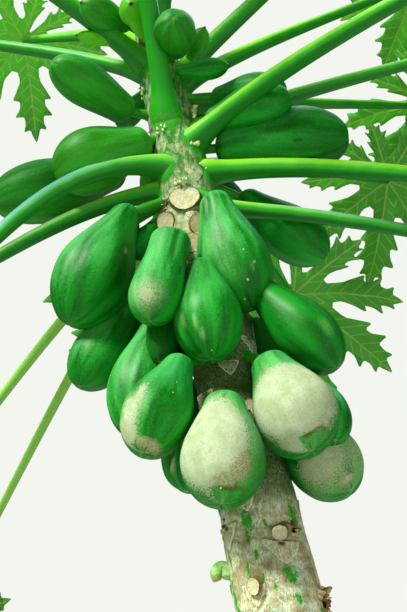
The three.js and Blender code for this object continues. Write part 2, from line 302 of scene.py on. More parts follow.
stemTop = stemSettings["stations"][-1][0]
stemHeights = np.arange(stemTop + 1.0)
stemLeans = np.array([stationValue(h, 1) for h in stemHeights])
stemRadii = np.array([stationValue(h, 2) for h in stemHeights]) / 2


def stemMiddle(height):
    height = np.asarray(height, float)
    return np.stack([np.interp(height, stemHeights, stemLeans), np.zeros_like(height), height], axis=-1)


def stemRadius(height):
    return np.interp(height, stemHeights, stemRadii)


def acrossStem(bearing, turn, height):
    # mm along the skin from the bearing to the turn
    return np.radians(turnFrom(bearing, turn)) * stemRadius(height)


# Scars of fallen leaves on the stem

scarSettings = {
    # height and bearing of the first scar of each run, and how far down and up the run goes
    "runs": [((1944, 98), 30, 1960), ((2300, 30), 2190, 3380)],
    # scars between the two runs: height, bearing, width, depth
    "single": [(2092, 296, 58, 44), (2058, 13, 72, 40), (1991, 325, 50, 38), (2146, 338, 46, 44),
               (2030, 150, 62, 42), (2096, 205, 62, 44), (2150, 110, 58, 42), (2008, 238, 60, 42),
               (2168, 250, 56, 42)],
    "spacing": [(0, 34), (1000, 27), (2040, 21), (2700, 14), (3100, 12)],
    "wide": [(0, 104), (1000, 84), (2040, 62), (2700, 44), (3300, 34)],
    "tall": [(0, 40), (1000, 44), (2040, 40), (2700, 32), (3300, 24)],
    "lift": 3.0,
    "seed": 11,
}


def listedAt(rows, height):
    return float(np.interp(height, [row[0] for row in rows], [row[1] for row in rows]))


def leafScars():
    # height, bearing, width, depth and age of each
    luck = random.Random(scarSettings["seed"])
    found = [(*scar, 0.3) for scar in scarSettings["single"]]
    for (height, turn), low, high in scarSettings["runs"]:
        way = 1 if height < (low + high) / 2 else -1
        while low < height < high:
            size = luck.uniform(0.85, 1.12)
            wide = listedAt(scarSettings["wide"], height) * size
            tall = listedAt(scarSettings["tall"], height) * size
            found.append((height, (turn + luck.uniform(-5, 5)) % 360, wide, tall, luck.random()))
            height += way * listedAt(scarSettings["spacing"], height)
            turn += way * goldenAngle
    return sorted(found)


scars = leafScars()


def shieldInside(across, up, wide, tall):
    # how far inside a shield, broad above and pointed below, a point lies, in mm
    share = (up + tall / 2) / tall
    half = wide / 2 * np.clip(share, 0, 1) ** 0.8 * (1 - 0.12 * np.clip((share - 0.75) / 0.25, 0, 1) ** 2)
    return np.minimum(np.minimum(half - np.abs(across), (1 - share) * tall), share * tall)


def stemHeightsOfRings():
    heights = []
    steps = stemSettings["steps"] + [(stemTop, 0)]
    for (low, step), (high, _) in zip(steps, steps[1:]):
        heights.append(np.arange(low, high, step))
    return np.append(np.concatenate(heights), stemTop)


def stemShell():
    heights = stemHeightsOfRings()
    turns = np.degrees(circle(stemSettings["sides"]))
    tall, turn = np.meshgrid(heights, turns, indexing="ij")
    outward = heading(turn, 0)
    rib = np.clip(1 - tall / stemSettings["buttressHeight"], 0, 1) ** 2
    ribs = np.cos(stemSettings["buttresses"] * np.radians(turn))
    radius = stemRadius(tall) + stemSettings["buttressDepth"] * rib * ribs
    plain = stemMiddle(tall) + outward * radius[..., None]

    # a scar is a raised shield with a hollow at its top, where the leaf's vessels ran
    scar, core = np.full_like(tall, -30.0), np.zeros_like(tall)
    relief = stemSettings["lumps"] * roughness(plain * (1, 1, 0.7), 60, 2, 1)
    relief += 0.9 * roughness(plain * (1, 1, 0.5), 14, 3, 2)
    moss = 0.8 * roughness(plain * (1, 1, 0.45), 46, 3, 5) - 0.1
    for height, bearing, wide, deep, age in scars:
        rows = np.nonzero(np.abs(heights - height) < deep * 1.3)[0]
        near = slice(rows[0], rows[-1] + 1)
        across = acrossStem(bearing, turn[near], height)
        up = tall[near] - height
        wobble = 2.6 * roughness(plain[near], 11, 3, 3 + age)
        inside = shieldInside(across, up, wide, deep) + wobble
        plate = smoothStep(inside, -1.2, 1.6)
        edge, groove = hump(inside - 1.8, 1.8), hump(inside + 3.0, 1.8)
        hollow = hump(across, 0.15 * wide) * hump(up - 0.38 * deep, 0.12 * deep)
        strength = 0.5 + 0.5 * smoothStep(height, 600, 1900) - 0.6 * smoothStep(height, 2600, 2850)
        relief[near] += strength * (scarSettings["lift"] * plate + 1.2 * edge - 2.0 * groove - 4.0 * hollow)
        scar[near] = np.maximum(scar[near], inside)
        core[near] = np.maximum(core[near], hollow)
        # the stretched skin under a scar's point is green
        under = hump(across, 0.16 * wide) * hump(up + 0.72 * deep, 0.22 * deep)
        moss[near] += 0.5 * under * (age > 0.55)
    for height, bearing, halfWide, halfTall in stemSettings["greens"]:
        across = acrossStem(bearing, turn, height)
        ragged = 0.6 * roughness(plain * (1, 1, 0.6), 8, 3, 8)
        away = np.sqrt((across / halfWide) ** 2 + ((tall - height) / halfTall) ** 2)
        moss = np.maximum(moss, np.clip(1.3 - 0.7 * away + ragged, 0, 1) * (away < 2.2))
    fibrous = smoothStep(tall, 2380, 2560)
    relief += fibrous * stemSettings["fibres"] * roughness(plain * (1, 1, 0.4), 15, 4, 3)
    relief *= smoothStep(tall, -40, 160)

    # the skin rises to meet the foot of every leaf stalk, and is as green there
    cushion = np.zeros_like(tall)
    for row in leafRows:
        height, bearing, girth = row[0], row[1] + stalkSettings["aside"].get(row[0], 0), row[5]
        half = girth / 2 * (1 + stalkSettings["flare"])
        across = acrossStem(bearing, turn, height)
        away = np.sqrt((across / half) ** 2 + ((tall - height + 0.25 * half) / (1.15 * half)) ** 2)
        away = away + 0.18 * roughness(plain, 16, 3, 9)
        cushion = np.maximum(cushion, 1 - smoothStep(away, 0.75, 1.5))
    relief = relief * (1 - 0.7 * cushion) + stemSettings["cushion"] * cushion

    rings = plain + outward * relief[..., None]
    fresh = smoothStep(tall, 2560, 2900)
    shade = smoothStep(tall, 2125, 2190) * (1 - smoothStep(tall, 2560, 2700))
    return closedLoft(rings, {"scarInside": scar / 10, "scarCore": core, "fresh": fresh, "moss": moss,
                              "shaded": shade, "cushion": cushion})


# Bark: thin papery skin, pale and streaked with fine fibres, green where the skin has stretched
barkSettings = {
    # patterns: size of the lumps in mm, detail, roughness, and how far they are drawn out up the stem
    "patterns": {
        "mottle": (22.0, 5.0, 0.66, 1.5),
        "fleck": (3.8, 4.0, 0.75, 1.3),
        "fibre": (2.4, 3.0, 0.65, 6.0),
        "sky": (44.0, 2.0, 0.5, 1),
        "tan": (30.0, 3.0, 0.5, 1),
        "strand": (9.0, 4.0, 0.6, 2.5),
    },
    "ring": 22.62,  # mm from one growth line to the next
    "pale": "#f0f1d6",
    "cream": "#dfdcae",
    "grey": "#b0b07a",
    "tan": "#9f8354",
    # painted reflection of the sky, in pale blue-green patches
    "sky": "#c6e2c8",
    "crack": "#4a4420",
    "moss": "#0b7a08",
    "green": "#34b41c",
    "scarFace": "#ddd9ac",
    "scarShade": "#a79c62",
    "scarHollow": "#2e2008",
    "freshSkin": "#2a7f1c",
    "freshPale": "#98b682",
    "freshBrown": "#8a8550",
    "cushion": "#2c9a1a",
    "shadedSkin": "#2c5c10",
}


def barkFinish():
    finish, tree = newFinish("papery papaya bark")
    look = barkSettings
    at = readings(tree, look["patterns"], ("moss", "fresh", "shaded", "scarInside", "scarCore", "cushion"))
    fleck, fibre, strand, inside = at["fleck"], at["fibre"], at["strand"], at["scarInside"]
    scale = 2 * math.pi / 20 * 1000 / look["ring"]  # this texture's bands are 2 pi / 20 wide at scale 1
    rings = addNode(tree, "ShaderNodeTexWave",
                    {"Vector": at["place"], "Scale": scale, "Distortion": 8.0, "Detail": 3.0,
                     "Detail Scale": 1.6}, bands_direction="Z").outputs["Fac"]
    tan = addNode(tree, "ShaderNodeMath", (fleck, at["tan"]), operation="ADD")
    # the bark's own colours, with a painted sky reflection in pale blue-green patches
    skin = painted(tree, look["grey"],
                   (at["mottle"], 0.42, 0.58, 0, 1, look["cream"]),
                   (fleck, 0.47, 0.54, 0, 1, look["pale"]),
                   (at["sky"], 0.54, 0.66, 0, 0.75, look["sky"]),
                   (tan, 1.0, 1.12, 0, 0.75, look["tan"]),
                   (fleck, 0.36, 0.46, 0.7, 0, look["grey"]),
                   (fibre, 0.33, 0.47, 0.55, 0, look["crack"]),
                   (rings, 0, 0.4, 0.28, 0, look["crack"]))

    # green skin shows through in ragged patches, with pale flecks left on it
    ragged = addNode(tree, "ShaderNodeMath", (fleck, 2.0, at["moss"]), operation="MULTIPLY_ADD")
    ragged = addNode(tree, "ShaderNodeMath", (fibre, 1.4, ragged), operation="MULTIPLY_ADD")
    green = painted(tree, look["moss"], (fibre, 0.38, 0.60, 0, 1, look["green"]))

    # near the crown the skin is still green, under torn pale fibres
    fresh = painted(tree, look["freshSkin"],
                    (strand, 0.46, 0.62, 0, 1, look["freshPale"]),
                    (strand, 0.60, 0.68, 0, 0.5, look["freshBrown"]),
                    (fibre, 0.34, 0.46, 0.6, 0, look["moss"]))
    torn = addNode(tree, "ShaderNodeMath", (at["mottle"], strand), operation="ADD")
    shaded = addNode(tree, "ShaderNodeMapRange", (fleck, 0.40, 0.62, 0.92, 0.5))
    shaded = addNode(tree, "ShaderNodeMath", (at["shaded"], shaded), operation="MULTIPLY")
    skin = painted(tree, skin,
                   (ragged, 2.22, 2.42, 0, 0.95, green),
                   (torn, 0.92, 1.16, 0.97, 0.6, fresh, at["fresh"]),
                   (shaded, 0, 1, 0, 1, look["shadedSkin"]))

    # a scar's face, its dark outline, and the pale rim inside that
    face = painted(tree, look["scarShade"],
                   (fibre, 0.40, 0.58, 0, 1, look["scarFace"]),
                   (fleck, 0.50, 0.60, 0, 0.6, look["pale"]),
                   (fleck, 0.34, 0.44, 0.7, 0, look["crack"]))
    young = addNode(tree, "ShaderNodeMapRange", (at["fresh"], 0, 1, 0.85, 0.3))
    older = addNode(tree, "ShaderNodeMapRange", (young, 0.3, 0.85))
    flecked = addNode(tree, "ShaderNodeMapRange", (fleck, 0.38, 0.56))
    outline = addNode(tree, "ShaderNodeMath", (inside, 0.05), operation="ADD")
    outline = addNode(tree, "ShaderNodeMath", (outline,), operation="ABSOLUTE")
    rim = addNode(tree, "ShaderNodeMath", (inside, 0.18), operation="SUBTRACT")
    rim = addNode(tree, "ShaderNodeMath", (rim,), operation="ABSOLUTE")
    cushion = addNode(tree, "ShaderNodeMath", (fleck, 0.5, at["cushion"]), operation="MULTIPLY_ADD")
    colour = painted(tree, skin,
                     (inside, 0, 0.08, 0, 1, face, young),
                     (shaded, 0, 1, 0, 0.6, look["shadedSkin"]),
                     (outline, 0.03, 0.12, 0.75, 0, look["crack"], flecked),
                     (rim, 0.03, 0.14, 0.6, 0, look["pale"], older),
                     (at["scarCore"], 0.45, 0.85, 0, 0.9, look["scarHollow"]),
                     (cushion, 0.42, 0.85, 0, 0.95, look["cushion"]))

    raised = addNode(tree, "ShaderNodeMath", (fibre, 0.6, fleck), operation="MULTIPLY_ADD")
    endFinish(tree, colour, rough=0.78, specular=0.15, relief=(raised, 0.7, 0.0022))
    return finish


# Cut and torn ends on the stem

stubSettings = {
    # height, bearing, width, depth of the face, length, pitch and bearing of the axis, 1 if notched, age
    "stubs": [
        (2768, 349, 62, 54, 12, -14, 350, 1, 0.0),
        (2736, 289, 38, 38, 16, -30, 330, 0, 0.2),
        (2704, 8, 46, 48, 7, -18, 8, 0, 0.6),
        (2662, 343, 34, 40, 5, -18, 345, 0, 0.7),
        (2322, 9, 34, 26, 5, -10, 9, 1, 0.5),
        (2905, 200, 48, 40, 12, -5, 200, 1, 0.2),
        (2690, 190, 50, 42, 9, -10, 190, 1, 0.4),
        (2620, 110, 44, 38, 9, -8, 110, 1, 0.6),
        (2540, 175, 46, 36, 9, -8, 175, 1, 0.6),
        (2480, 20, 36, 28, 8, -6, 20, 0, 0.8),
        (2240, 205, 40, 30, 8, -4, 205, 1, 0.9),
        (2101, 27, 27, 25, 22, -26, 342, 0, 0.15),
        (2012, 331, 23, 27, 14, -20, 326, 0, 0.0),
    ],
    "sides": 36,
    "buried": 10,  # mm of a stub inside the stem
    "patterns": {"grain": (8.0, 5.0, 0.65, 1), "fine": (2.6, 3.0, 0.6, 1)},
    "face": "#ece5c6",
    "grain": "#d3c898",
    "fineGrain": "#b09a68",
    "side": "#7c7a3a",
    "sidePale": "#b5ab72",
    "dry": "#b9925e",
    "rim": "#54350f",
    # painted shade of the holes
    "hollow": "#120b04",
    "curlLight": "#c8eaa4",
    "curlDark": "#6fbf4a",
    # painted shade: black lumps for holes; height, bearing, half width, how far each stands out of the stem
    "holeShadows": [(2097, 37, 8, 5), (1993, 76, 15, 7), (2126, 292, 4, 3), (2002, 334, 5, 3), (2722, 300, 9, 2)],
    # height, bearing, spread, size and number of the chips round a torn place, and the seed of their shapes
    "torn": [(1993, 74, 21, 11, 34, 3), (2102, 36, 11, 6, 22, 4), (2772, 296, 14, 6, 16, 6),
             (2120, 291, 7, 6, 5, 7)],
    # a dried curl beside the stem: height, bearing, girth
    "curl": (2044, 270, 23),
}


def stubShell(height, bearing, wide, deep, long, pitch, aim, notched, age):
    # a short stub that grows out of the stem; a leaf's cut stalk has a notch in the top of its face
    axis, side = heading(aim, pitch), heading(aim + 90, 0)
    up = np.cross(axis, side)
    buried = stubSettings["buried"]
    foot = stemMiddle(height) + heading(bearing, 0) * (stemRadius(height) - buried)
    turn = circle(stubSettings["sides"])
    outX, outY = np.cos(turn), np.sin(turn)
    if notched:
        dip = 0.34 * hump(outX + 0.02, 0.2)
        outY = np.where(outY > 0, outY * (0.72 - dip), outY * (1.08 - 0.1 * np.abs(outX)))
    # along the stub, size, mark of the dark rim, mark of the cut face
    rows = [(0.0, 1.12, 0, 0), (0.45, 1.06, 0.2, 0), (0.86, 1.0, 0.5, 0), (0.97, 1.02, 1, 0),
            (1.0, 1.0, 1, 0), (1.0, 0.95, 0.3, 1), (0.985, 0.9, 0, 1), (0.97, 0.6, 0, 1), (0.965, 0.2, 0, 1)]
    ragged = 1 + (0.06 if notched else 0.12) * roughness(vectors(outX * 30, outY * 30, height), 16, 2)
    rings = []
    for along, size, _, _ in rows:
        spot = foot + axis * ((long + buried) * along)
        reach = size * ragged / 2
        rings.append(ovalRing(spot, side, up, outX * reach * wide, outY * reach * deep))
    marks = {"cutRim": np.array([[row[2]] for row in rows]), "cutFace": np.array([[row[3]] for row in rows])}
    return closedLoft(np.array(rings), {**marks, "cutAge": age})


def chipShells(height, bearing, spread, size, count, seed):
    # dry flakes and crumbs that stand up round a torn place
    luck = random.Random(seed)
    sides = 6
    shells = []
    for _ in range(count):
        turn = bearing + math.degrees(luck.uniform(-spread, spread) / stemRadius(height))
        up = height + luck.uniform(-spread, spread)
        foot = stemMiddle(up) + heading(turn, 0) * (stemRadius(up) - 3)
        axis = heading(turn + luck.uniform(-50, 50), luck.uniform(-40, 50))
        side = np.cross(axis, (0.3, 0.2, 0.93))
        side /= np.linalg.norm(side)
        other = np.cross(axis, side)
        long, wide = size * luck.uniform(0.9, 2.0), size * luck.uniform(0.35, 0.7)
        corners = np.array([luck.uniform(0.7, 1.2) for _ in range(sides)])
        angle = circle(sides)
        rings = []
        for along, share, slip in ((0, 1.0, 0), (0.5, 1.1, 0.2), (0.85, 0.8, 0.5), (1.0, 0.35, 0.6)):
            spot = foot + axis * long * along + side * slip * wide * luck.uniform(-1, 1)
            reach = corners * share * wide
            rings.append(ovalRing(spot, side, other, np.cos(angle) * reach, np.sin(angle) * reach * 0.55))
        tone = luck.random()
        marks = {"cutFace": 1.0, "cutAge": 0.4 + 0.6 * tone, "cutRim": 0.75 * (tone > 0.6)}
        shells.append(closedLoft(np.array(rings), marks))
    return shells


def holeShadowShell(height, bearing, size, out):
    # painted shade: a near-black lump for the dark hole in the middle of a torn place
    axis, side = heading(bearing, 0), heading(bearing + 90, 0)
    foot = stemMiddle(height) + axis * (stemRadius(height) - 4)
    up = np.array([0, 0, 1.0])
    turn = circle(14)
    rings = []
    for along, share in ((0, 1.0), (out, 0.9), (out + 1.5, 0.4)):
        wide = size * share * (1 + 0.25 * np.cos(3 * turn + height))
        rings.append(ovalRing(foot + axis * along, side, up, np.cos(turn) * wide, np.sin(turn) * wide))
    return closedLoft(np.array(rings), {"cutRim": 1.6})


def curlShell(height, bearing, girth):
    # a dried-up stalk that has curled over
    steps, sides = 16, 12
    out, side = heading(bearing, 0), heading(bearing + 90, 0)
    angle = np.radians(np.linspace(-20, 215, steps))
    foot = stemMiddle(height) + out * (stemRadius(height) + 2) - np.array([0, 0, girth * 0.15])
    line = foot + np.outer(1 - np.cos(angle), out) * girth * 0.42
    line = line + np.outer(np.sin(angle), (0, 0, 1)) * girth * 0.62
    line = line + np.outer(np.linspace(0, 1, steps), side) * -5
    radius = girth / 2 * np.interp(np.arange(steps), [0, 5, 12, 15], [0.95, 0.85, 1.0, 0.6])
    rust = 0.7 * smoothStep(np.arange(steps), 11, 15)[:, None]
    return closedLoft(tubeRings(line, radius, sides), {"cutCurl": 1.0, "cutAge": rust})


def stubFinish():
    # cut stalk: corky cream face inside a dark, shrunken rim, browner as it dries; hole lumps are painted
    # shade
    finish, tree = newFinish("dried cut stalk")
    look = stubSettings
    at = readings(tree, look["patterns"], ("cutFace", "cutCurl", "cutAge", "cutRim"))
    grain = addNode(tree, "ShaderNodeMapRange", (at["grain"], 0.36, 0.64))
    face = painted(tree, look["face"],
                   (grain, 0, 1, 0, 1, look["grain"]),
                   (at["fine"], 0.38, 0.5, 0.45, 0, look["fineGrain"]))
    side = painted(tree, look["side"], (grain, 0, 1, 0, 1, look["sidePale"]))
    curl = painted(tree, look["curlLight"], (grain, 0, 1, 0, 1, look["curlDark"]))
    colour = painted(tree, side,
                     (at["cutFace"], 0, 1, 0, 1, face),
                     (at["cutCurl"], 0, 1, 0, 1, curl),
                     (grain, 0, 1, 0.65, 1, look["dry"], at["cutAge"]),
                     (at["cutRim"], 0, 1, 0, 1, look["rim"]),
                     (at["cutRim"], 1.1, 1.5, 0, 1, look["hollow"]))
    endFinish(tree, colour, rough=0.85, specular=0.2, relief=(grain, 0.4, 0.0015))
    return finish


# Fruits

# height, bearing and reach of the shoulder, pitch and bearing of the axis, length, girth, neck share
fruitRows = [
    (3017, 277, 85, 5, 313, 205, 94, 0.68),
    (2930, 300, 60, -22, 266, 214, 138, 0.50),
    (2914, 245, 124, -16, 270, 290, 134, 0.45),
    (2768, 282, 122, -68, 265, 285, 150, 0.36),
    (2652, 331, 112, -78, 300, 206, 98, 0.78),
    (2602, 352, 88, -84, 60, 216, 124, 0.38),
    (2762, 28, 88, -72, 115, 256, 138, 0.42),
    (2567, 58, 95, -50, 88, 226, 114, 0.50),
    (2398, 34, 110, -68, 65, 206, 144, 0.45),
    (2314, 347, 118, -80, 348, 208, 138, 0.48),
    (2397, 317, 122, -68, 308, 214, 118, 0.42),
    (2522, 266, 108, -80, 280, 240, 122, 0.50),
    (2326, 100, 84, -52, 56, 200, 127, 0.50),
    (2926, 84, 80, 0, 82, 278, 140, 0.60),
    (2967, 60, 78, 7, 72, 184, 104, 0.50),
    (2846, 112, 122, -30, 110, 226, 118, 0.50),
    (3142, 30, 74, -13, 358, 132, 88, 0.50),
]
fruitBunches = {
    "fruit_young": [
        (3240, 332, 62, -25, 352, 108, 66, 0.50),
        (3235, 312, 72, -8, 312, 130, 70, 0.50),
    ],
    "fruit_back_left": [
        (2800, 240, 125, -30, 242, 215, 98, 0.50),
        (2590, 252, 158, -64, 275, 210, 112, 0.50),
        (2700, 225, 100, -66, 240, 250, 124, 0.45),
        (2440, 205, 98, -80, 250, 220, 112, 0.50),
    ],
    "fruit_back_right": [
        (2700, 165, 90, -62, 160, 250, 124, 0.45),
        (2560, 128, 100, -66, 120, 235, 122, 0.50),
        (2470, 165, 96, -74, 150, 225, 122, 0.45),
    ],
}
smallFruits = [
    (3066, 15, 90, 4, 85, 110, 46, 0.50),
    (2392, 78, 132, -61, 29, 180, 94, 0.50),
    (3056, 79, 100, -16, 61, 176, 83, 0.50),
    (2409, 204, 100, -80, 280, 200, 96, 0.50),
    (3190, 298, 94, 4, 280, 92, 32, 0.60),
    (3150, 68, 68, 24, 26, 84, 42, 0.55),
    (3180, 345, 60, 8, 330, 76, 34, 0.55),
    (3120, 150, 66, -8, 150, 130, 62, 0.50),
    (3140, 210, 66, -6, 215, 124, 58, 0.50),
    (3020, 190, 74, -24, 190, 168, 84, 0.50),
    (2960, 145, 86, -38, 140, 190, 98, 0.50),
    (3210, 110, 56, 10, 108, 70, 32, 0.55),
    (3240, 190, 54, 12, 200, 66, 30, 0.55),
    (2712, 268, 100, -20, 266, 36, 21, 0.60),
    (2590, 300, 82, -82, 320, 190, 66, 0.50),
    (2748, 262, 76, -60, 275, 92, 58, 0.50),
    (2560, 245, 84, -80, 250, 180, 96, 0.50),
]

fruitSettings = {
    "rings": 84,
    "sides": 70,
    "smallGirth": 70,  # mm, below which half as many rings and sides will do
    "usualGirth": 130,  # mm, the size that the skin's patterns are drawn for
    "usualLong": 220,
    "belly": 0.62,
    "shoulder": 0.1,
    "ribs": 5,
    "ribDepth": 0.02,
    "stalkGirth": 20,
    "stalkBite": 12,
    "stalkLift": 26,
    "dentDepth": 2.0,  # mm
    "dentSize": 48.0,
    "strongRibs": {3: 0.085, 11: 0.075, 1: 0.03, 12: 0.03, 7: 0.03, 13: 0.03, 16: 0.04},
    "ribTurn": {3: 214, 11: 302, 7: 112},  # where a furrow runs, degrees
    "bellyAt": {4: 0.72},
    "waist": {4: 0.22},  # share of the length at which the neck ends
    "crease": {4: (275, 0.55), 6: (150, 0.34)},  # a furrow down the neck: its turn and where it ends
    # a seam across the blossom end: share of the length, turn and half its width in degrees
    "seam": {9: (0.935, 318, 48), 8: (0.925, 58, 34)},
    # how much bloom each fruit has, which also sets how much painted light shows on it
    "bloom": [0.9, 0.5, 0.65, 0.85, 0.9, 0.3, 0.9, 0.0, 0.6, 0.5, 0.5, 0.7, 0.3, 0.4, 0.7, 0.2, 0.8],
    "crowded": 100,  # from this number on, fruits of bunches and small ones; the bigger get a patch of cork
    "corkyGirth": 90,
    "hidden": 207,  # from this number on, fruits in the shade of others, with no bloom and no painted light
    # painted shade: how much darker each fruit is painted where it lies in the shade of others
    "paintedShadeByFruit": {7: 0.5, 13: 0.35, 16: 0.3, 214: 1.0, 216: 1.0},
    "paleTip": [12],
    "clean": [111],  # crowded fruits that carry no cork
    "youth": {0: 0.12, 1: 0.2, 2: 0.08, 16: 0.12, 100: 0.8, 101: 0.15, 204: 1.0, 205: 0.3, 206: 0.9,
              211: 1.0, 212: 1.0, 213: 1.0},
    "driedFlower": [200, 204, 205, 100, 101, 206],  # fruits whose dried flower still clings
}

# corky patches, by fruit: share of the length, turn, half its length, half its turn, strength, brownness
scurfPatches = {
    9: [(0.56, 14, 0.42, 64, 1.0, 0.0), (0.80, 322, 0.15, 24, 0.66, 0.9), (0.62, 338, 0.32, 20, 0.74, 0.2),
        (0.90, 348, 0.07, 38, 0.62, 0.8)],
    8: [(0.63, 73, 0.36, 76, 1.0, 0.0), (0.86, 42, 0.12, 40, 0.55, 0.5), (0.92, 120, 0.08, 30, 0.8, 0.2)],
    12: [(0.76, 84, 0.20, 62, 0.62, 0.2), (0.97, 60, 0.03, 60, 0.5, 0.7)],
    10: [(0.78, 352, 0.16, 26, 0.62, 0.0), (0.64, 336, 0.16, 14, 0.46, 0.0), (0.92, 356, 0.08, 34, 0.62, 0.2),
         (0.965, 290, 0.045, 110, 0.48, 0.8), (0.90, 20, 0.12, 22, 0.7, 0.2)],
    3: [(0.42, 214, 0.035, 3.5, 0.9, 0.9)],
    6: [(0.74, 92, 0.014, 3, 0.7, 0.6)],
    4: [(0.86, 314, 0.09, 28, 0.48, 0.1)],
}

# grazes with soft edges: share of the length, turn, half its length, half its turn, strength
grazes = {
    12: [(0.66, 8, 0.40, 60, 1.0), (0.86, 90, 0.16, 80, 0.7)],
    4: [(0.85, 316, 0.15, 48, 0.75)],
    5: [(0.77, 86, 0.07, 4, 0.7), (0.87, 78, 0.05, 6, 0.6), (0.72, 110, 0.08, 5, 0.35)],
    7: [(0.22, 32, 0.06, 2.5, 0.8), (0.74, 71, 0.09, 13, 0.22)],
    6: [(0.77, 99, 0.04, 3, 0.4), (0.62, 140, 0.3, 30, 0.12)],
    10: [(0.76, 350, 0.2, 32, 0.6)],
    8: [(0.62, 78, 0.42, 90, 0.6)],
    9: [(0.56, 0, 0.45, 80, 0.6)],
}

# dark healed cuts: share of the length, turn, half its length, half its turn
healedCuts = {4: [(0.51, 248, 0.075, 4.5)], 6: [(0.08, 150, 0.012, 6)], 13: [(0.62, 128, 0.05, 2.5)],
              12: [(0.71, 158, 0.008, 2)]}
# dried drops of latex: fruit, share of the length, turn, width in mm
latexDrops = [(6, 0.64, 108, 5.0), (6, 0.85, 114, 5.5), (6, 0.95, 136, 6.0), (10, 0.43, 286, 3.4),
              (10, 0.56, 286, 3.4), (10, 0.46, 308, 3.0), (12, 0.3, 50, 4.0), (5, 0.97, 60, 4.0),
              (9, 0.95, 352, 4.0)]


def fruitRadius(share, number, neck, girth):
    waist = fruitSettings["waist"].get(number, 0.0)
    belly = fruitSettings["bellyAt"].get(number, fruitSettings["belly"])
    width = neck + (1 - neck) * smoothStep(share, waist, belly)
    before = np.clip(share / fruitSettings["shoulder"], 0, 1)
    width = width * np.sqrt(1 - (1 - before) ** 2)
    past = np.clip((share - belly) / (1 - belly), 0, 1)
    return width * np.sqrt(1 - past ** 2) * girth / 2


def fruitAxes(row):
    pitch, bearing = row[3], row[4]
    axis = heading(bearing, pitch)
    upper = heading(bearing, pitch + 90)
    return axis, upper, np.cross(axis, upper)


def fruitShoulder(row):
    return stemMiddle(row[0]) + heading(row[1], 0) * row[2]


def patchAway(share, turn, centre, bearing, halfShare, halfTurn):
    # 0 in the middle of a patch, 1 at its border, with full rounded corners
    off = np.abs(turnFrom(bearing, turn)) / halfTurn
    return ((np.abs(share - centre) / halfShare) ** 2.5 + off ** 2.5) ** 0.4


def scurfMarks(share, turn, patches):
    mark = np.zeros(np.broadcast_shapes(share.shape, turn.shape))
    brown = mark.copy()
    for *place, strength, brownness in patches:
        away = patchAway(share, turn, *place)
        here = np.clip(strength * (0.5 + 1.6 * (1 - away)), 0, 1)
        brown = np.where(here > mark, brownness, brown)
        mark = np.maximum(mark, here)
    return mark, brown


def softMarks(share, turn, patches):
    mark = np.zeros(np.broadcast_shapes(share.shape, turn.shape))
    for *place, strength in patches:
        away = patchAway(share, turn, *place)
        mark = np.maximum(mark, strength * (1 - smoothStep(away, 0.25, 1.25)))
    return mark


def fruitStalkShell(row, axis, long):
    steps, sides = 12, 14
    height = row[0] + fruitSettings["stalkLift"] * max(0, -axis[2])
    foot = stemMiddle(height) + heading(row[1], 0) * (stemRadius(height) - fruitSettings["stalkBite"])
    end = fruitShoulder(row) + axis * long * fruitSettings["shoulder"]
    girth = min(fruitSettings["stalkGirth"], row[6] * 0.24)
    share = np.linspace(0, 1, steps)
    line = foot + (end - foot) * share[:, None] + heading(row[1], 0) * 6 * np.sin(np.pi * share)[:, None]
    swell = girth / 2 * (1 + 0.5 * hump(share, 0.12) + 0.35 * hump(1 - share, 0.1))
    turn = circle(sides)[None]
    space = vectors(np.cos(turn) * 0.15, np.sin(turn) * 0.15, share[:, None] * 0.2)
    return closedLoft(tubeRings(line, swell, sides), {"fruitSpace": space, "stalkMark": 1.0})


def dropShell(row, number, share, turn, width):
    axis, upper, other = fruitAxes(row)
    radius = float(fruitRadius(np.array(share), number, row[7], row[6]))
    out = upper * math.cos(math.radians(turn)) + other * math.sin(math.radians(turn))
    spot = fruitShoulder(row) + axis * share * row[5] + out * radius
    theta = np.linspace(0.2, math.pi - 0.2, 6)[:, None]
    phi = circle(8)[None]
    across = np.cross(out, axis)
    ball = (np.sin(theta) * np.cos(phi))[..., None] * across * 0.8
    ball = ball + (np.sin(theta) * np.sin(phi))[..., None] * axis
    ball = ball - (np.cos(theta) * np.ones_like(phi))[..., None] * np.cross(across, axis) * 0.55
    return closedLoft(spot + ball * width / 2, {"scurf": 1.0})


